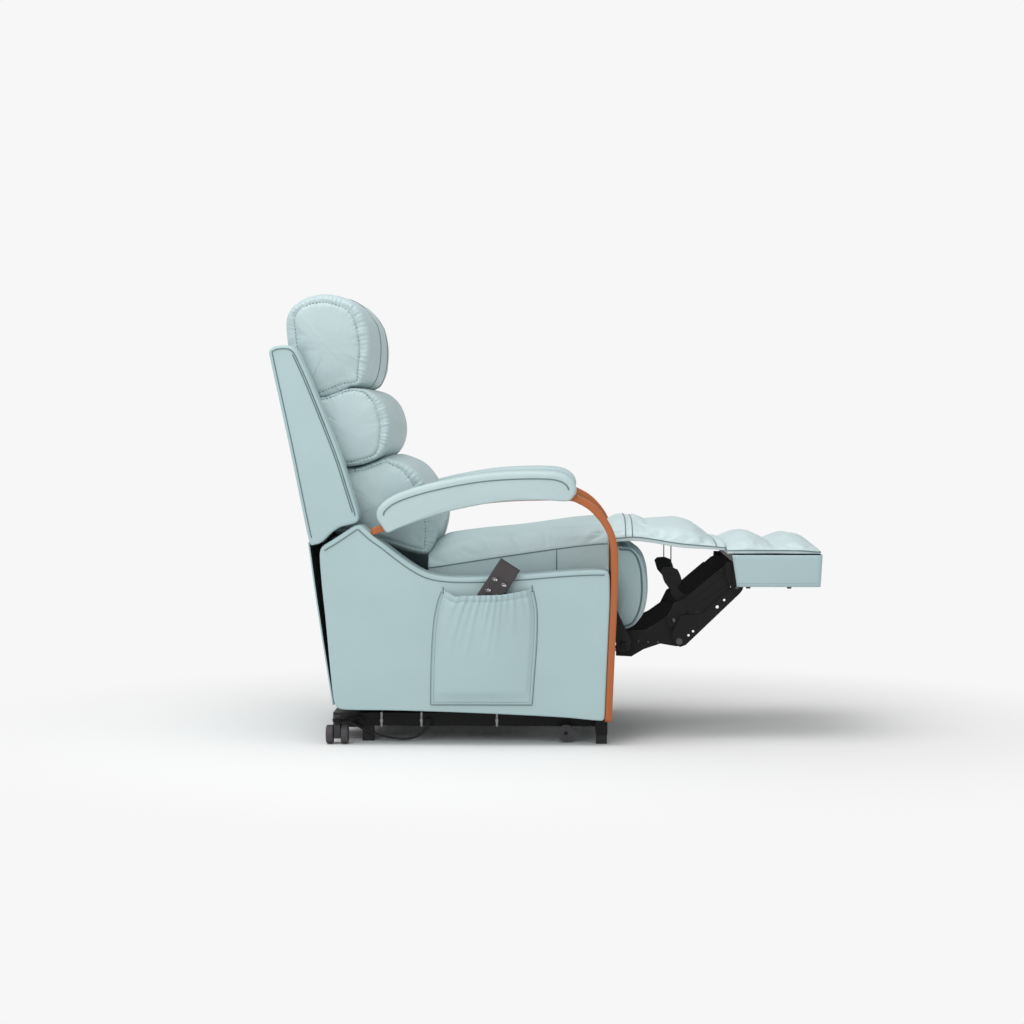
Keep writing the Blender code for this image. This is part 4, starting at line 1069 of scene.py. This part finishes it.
def makeHandset(facts):
    width, depth, length = facts["size"]
    place = handsetFrame(facts)

    def addPart(name, finish, bm, body="handset", *nodes):
        bm.transform(place)
        dress(keep(name, bm, name == "handset_shell"), finish, body, "handset_plastic", *nodes)

    bm = bmesh.new()
    box(bm, (-width / 2, 0.0002, -length), (width / 2, depth, 0))
    bmesh.ops.subdivide_edges(bm, edges=bm.edges, cuts=2, use_grid_fill=True)
    soften(bm, 0.0032, 4)
    addPart("handset_shell", handsetShell, bm, "handset", "handset")

    panel = facts["panel"]
    edge = width / 2 - panel["inset"]
    bm = bmesh.new()
    box(bm, (-edge, -0.0004, -panel["end"]), (edge, 0.0012, -0.0035))
    lower = {v for v in bm.verts if v.co.z < -0.03}
    bmesh.ops.subdivide_edges(bm, edges=[e for e in bm.edges if lower.issuperset(e.verts)], cuts=10)
    for v in bm.verts:
        if v.co.z < -0.03:
            v.co.z += panel["bulge"] * (1 - (2 * v.co.x / width) ** 2)
    soften(bm, 0.0004, 2, 1.0)
    addPart("handset_top_panel", handsetGloss, bm)

    bm = bmesh.new()
    box(bm, (-width / 2 + 0.001, 0.0085, -length + 0.001), (width / 2 - 0.001, 0.0091, -0.001))
    bmesh.ops.scale(bm, vec=(1.042, 1, 1.014), space=Matrix.Translation((0, 0, length / 2)), verts=bm.verts)
    addPart("handset_joint_line", rubber, bm)

    wide, tall = facts["cap"]
    for name, x, down, way in keys:
        bm = bmesh.new()
        box(bm, (x - wide / 2, -0.0016, -down - tall / 2), (x + wide / 2, 0.0012, -down + tall / 2))
        soften(bm, 0.0008, 3)
        addPart(name + "_cap", handsetShell, bm, name, name)
        bm = bmesh.new()
        turns = [math.radians(200 - 22 * k * way) for k in range(9)]
        arc = [Vector((x + facts["arrow"] * math.cos(a), -0.0018, -down + facts["arrow"] * math.sin(a)))
               for a in turns]
        for before, after in zip(arc, arc[1:]):
            rod(bm, before, after, (0.0024, 0.0005, 0.0018), "Y")
        disc(bm, arc[-1] + Vector((0, 0, -0.0004 * way)), (0, 0, -way), 0.003, 0.0044, 3, 0.0001)
        box(bm, (x - 0.0013, -0.002, -down - 0.0016), (x + 0.0013, -0.0015, -down + 0.0016))
        bmesh.ops.scale(bm, vec=(1, 0.35, 1), space=Matrix.Translation((0, 0.0017, 0)), verts=bm.verts)
        addPart(name + "_arrow", printWhite, bm, name)


makeHandset(handset)
print("handset made")


# leather skin round the footrest board
board = {
    "top": 0.4567, "bottom": 0.3785, "rear": 0.45, "rearLow": 0.462, "front": 0.6715, "frontLow": 0.667,
    "half": 0.2735, "corner": 0.012, "thick": 0.0028, "hem": 0.0085, "glides": ((0.49, 0.59), 0.262)}


def makeBoard(facts):
    rear, front, half, corner = (facts[key] for key in ("rear", "front", "half", "corner"))
    plan = [(rear + (front - corner - rear) * k / 14, -half) for k in range(15)]
    for k in range(1, 9):
        angle = math.pi / 2 * (k / 8 - 1)
        plan.append((front - corner * (1 - math.cos(angle)), -half + corner * (1 + math.sin(angle))))
    plan += [(front, -half + corner + (half - corner) * k / 16) for k in range(1, 17)]
    plan += [(x, -y) for x, y in plan[-2::-1]]

    def lowEdge(x):
        return facts["rearLow"] + (x - rear) / (front - rear) * (facts["frontLow"] - facts["rearLow"])

    bm = bmesh.new()
    rows = []
    for i in range(13):
        share = i / 12
        z = facts["bottom"] + (facts["top"] - facts["bottom"]) * share
        swell = 0.0008 * math.sin(math.pi * share)
        rows.append([bm.verts.new((lowEdge(x) + (x - lowEdge(x)) * share, y + math.copysign(swell, y), z))
                     for x, y in plan])
    for low, high in zip(rows, rows[1:]):
        for corners in zip(low, low[1:], high[1:], high):
            bm.faces.new(corners)
    bm.normal_update()
    piece = keep("footrest_board_cover", bm)
    thicken(piece, facts["thick"], -1)
    dress(piece, sideLeather, "footrest", "upholstery_side")
    hem = [Vector((lowEdge(x), y * 1.0015, facts["bottom"] + facts["hem"])) for x, y in plan]
    dress(stitches("footrest_board_stitching", [hem], 0.0052, (0.003, 0.0007, 0.0007)), thread, "footrest",
          "upholstery_side")
    bm = bmesh.new()
    along, out = facts["glides"]
    for x in along:
        for y in (-out, out):
            disc(bm, (x, y, facts["bottom"] - 0.0015), (0, 0, -1), 0.007, 0.006, 24, 0.005)
    soften(bm, 0.0006, 2)
    dress(keep("footrest_board_glides", bm, False), rubber, "footrest", "rubber")


makeBoard(board)
print("footrest board covered")


# rivets, nuts and ties on the mechanism
rivets = [
    ("leg_crank", (0.185, 0.235), 0.2385, 0.0085, "nut"),
    ("leg_plates", (0.322, 0.243), 0.2545, 0.008, "bolt"),
    ("leg_plates", (0.309, 0.294), 0.2545, 0.0052, "rivet"),
    ("leg_channels", (0.309, 0.294), 0.2475, 0.0052, "rivet"),
    ("footrest", (0.462, 0.377), 0.2605, 0.0055, "rivet"),
    ("leg_crank", (0.222, 0.242), 0.2385, 0.0032, "rivet"),
    ("leg_crank", (0.246, 0.24), 0.2385, 0.0036, "rivet"),
    ("leg_crank", (0.27, 0.24), 0.2385, 0.0036, "rivet"),
    ("lift_arms", (0.0, 0.052), 0.249, 0.008, "bolt"),
    ("lift_arms", (-0.46, 0.085), 0.249, 0.007, "bolt")]


# discs that make a head: lift, share of the radius, depth, corners, share of the radius at the tip
boltHead = ((0.0006, 1, 0.0012, 28, 1), (0.003, 0.74, 0.0044, 6, 0.74), (0.0056, 0.38, 0.0022, 16, 0.3))
rivetHead = ((0.001, 1, 0.0024, 20, 0.55),)
ties = {
    "rail": ((-0.287, 0.037), (-0.262, 0.069)), "along": (-0.408, -0.31, -0.125), "half": 0.0022}


def makeRivets():
    made = {}
    for body, (x, z), out, radius, kind in rivets:
        for word, sign in sides:
            bm = made.setdefault((body, kind), bmesh.new())
            for lift, size, depth, corners, tip in rivetHead if kind == "rivet" else boltHead:
                centre = (x, sign * (out + lift), z)
                disc(bm, centre, (0, sign, 0), radius * size, depth, corners, radius * tip)
    for (body, kind), bm in made.items():
        soften(bm, 0.0003, 1)
        brassy = kind == "nut"
        dress(keep(f"{body}_{kind}s", bm, False), brass if brassy else boltSteel, body,
              "bright_steel" if brassy else "black_steel")


def makeTies():
    (near, low), (far, high) = ties["rail"]
    half = ties["half"]
    bm = bmesh.new()
    for x in ties["along"]:
        for y in (near - 0.0008, far + 0.0008):
            box(bm, (x - half, y - 0.0005, low - 0.0012), (x + half, y + 0.0005, high + 0.001))
        for z in (low - 0.001, high + 0.0008):
            box(bm, (x - half, near - 0.0012, z - 0.0005), (x + half, far + 0.0012, z + 0.0005))
        box(bm, (x - 0.0033, near - 0.0048, low + 0.01), (x + 0.0033, near - 0.0008, low + 0.017))
    dress(keep("rail_cable_ties", bm, False), tieWhite, "base", "grey_plastic")


calfHook = {
    "inner": 0.225, "outer": 0.231, "ribs": ((0.285, 0.32, 0.408), (0.296, 0.319, 0.388)),
    "outline": mm(
        (277.2, 415.8), (284.5, 423.2), (304.1, 424.5), (319, 418.5), (325, 406), (328.7, 393.8),
        (323.9, 381.4), (319, 379), (321.4, 366.7), (338.6, 354.4), (348.5, 349.5), (343.6, 319.9),
        (324, 329.7), (304.3, 356.8), (299.3, 374), (284.6, 391.2))}
channelWeb = {
    "inner": 0.2476, "outer": 0.2494,
    "ridges": (((0.352, 0.345), (0.436, 0.408)), ((0.364, 0.333), (0.448, 0.3888))),
    "outline": mm(
        (342, 354), (408, 410), (434, 408), (445, 393), (448, 374), (383, 299), (345, 304))}


def flatPlate(bm, outline, low, high):
    # a closed plate between two widths, from an (x, z) outline
    face = bm.faces.new([bm.verts.new((x, low, z)) for x, z in outline])
    made = bmesh.ops.extrude_face_region(bm, geom=[face])["geom"]
    raised = [v for v in made if isinstance(v, bmesh.types.BMVert)]
    bmesh.ops.translate(bm, vec=(0, high - low, 0), verts=raised)


def makeHooks():
    bm = bmesh.new()
    for word, sign in sides:
        flatPlate(bm, calfHook["outline"], sign * calfHook["inner"], sign * calfHook["outer"])
        for x0, x1, z in calfHook["ribs"]:
            box(bm, (x0, sign * 0.2308, z - 0.002), (x1, sign * 0.2318, z))
        box(bm, (0.301, sign * 0.2255, 0.418), (0.3035, sign * 0.2305, 0.479))
    bmesh.ops.recalc_face_normals(bm, faces=bm.faces)
    soften(bm, 0.0008, 2)
    dress(keep("calf_hooks", bm, False), blackSteel, "calf_rest", "black_steel", "calf_bracket")
    bm = bmesh.new()
    for word, sign in sides:
        flatPlate(bm, channelWeb["outline"], sign * channelWeb["inner"], sign * channelWeb["outer"])
        for (x0, z0), (x1, z1) in channelWeb["ridges"]:
            start, end = Vector((x0, sign * 0.2491, z0)), Vector((x1, sign * 0.2491, z1))
            rod(bm, start, end, ((end - start).length, 0.0012, 0.0022), "Y")
    bmesh.ops.recalc_face_normals(bm, faces=bm.faces)
    dress(keep("leg_channel_webs", bm, False), blackSteel, "leg_channels", "black_steel")


makeHooks()
makeRivets()
makeTies()
print("mechanism detailed")


# finishes of the frame's own nodes
nodeFinishes = [
    (rubber, ("front_foot", "rear_foot")),
    (
        greyPlastic, ("power_box", "castor_fork", "lift_motor", "recline_motor", "footrest_motor")),
    (wheelPlastic, ("castor_wheels", "transport_roller")),
    (steel, ("lift_rod", "recline_rod", "footrest_rod")), (dustCover, ("seat_frame", "back_board"))]


def finishNodes():
    for name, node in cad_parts.items():
        finish = next((made for made, starts in nodeFinishes if name.startswith(starts)), blackSteel)
        node.data.materials.clear()
        node.data.materials.append(finish)


finishNodes()


# pale floor that fades into the background, and soft light
def makeStudio(facts):
    bm = bmesh.new()
    bmesh.ops.create_grid(bm, x_segments=1, y_segments=1, size=60)
    floor = keep("studio_floor", bm, False)
    finish = Finish("studio_floor")
    grey = facts["floor"]
    finish.shade(Base_Color=(grey, grey, grey, 1), Roughness=0.8, Specular_IOR_Level=0.1)
    away = finish.node("VectorMath", {"operation": "LENGTH"}, {0: finish.place}, 1)
    fade = finish.node("MapRange", {"interpolation_type": "SMOOTHSTEP"},
                       {"Value": away, "From Min": facts["fadeStart"], "From Max": facts["fadeEnd"]})
    glow = finish.node("Emission", None, {"Color": (facts["background"],) * 3 + (1,)})
    both = finish.node("MixShader", None, {0: fade, 2: glow})
    finish.tree.links.new(finish.shader.outputs[0], both.socket.node.inputs[1])
    finish.tree.links.new(both.socket, finish.tree.nodes["Material Output"].inputs[0])
    floor.data.materials.append(finish.material)
    world = bpy.data.worlds.new("studio")
    scene.world = world
    world.use_nodes = True
    tree = world.node_tree
    sky = tree.nodes["Background"]
    seen = tree.nodes.new("ShaderNodeLightPath")
    level = tree.nodes.new("ShaderNodeMapRange")
    level.inputs["To Min"].default_value = facts["glow"]
    level.inputs["To Max"].default_value = facts["background"]
    tree.links.new(seen.outputs["Is Camera Ray"], level.inputs["Value"])
    tree.links.new(level.outputs[0], sky.inputs["Strength"])
    sky.inputs["Color"].default_value = (1, 1, 1, 1)


makeStudio(studio)
for lampFacts in studio["lamps"]:
    softbox(*lampFacts)
print("studio lit")
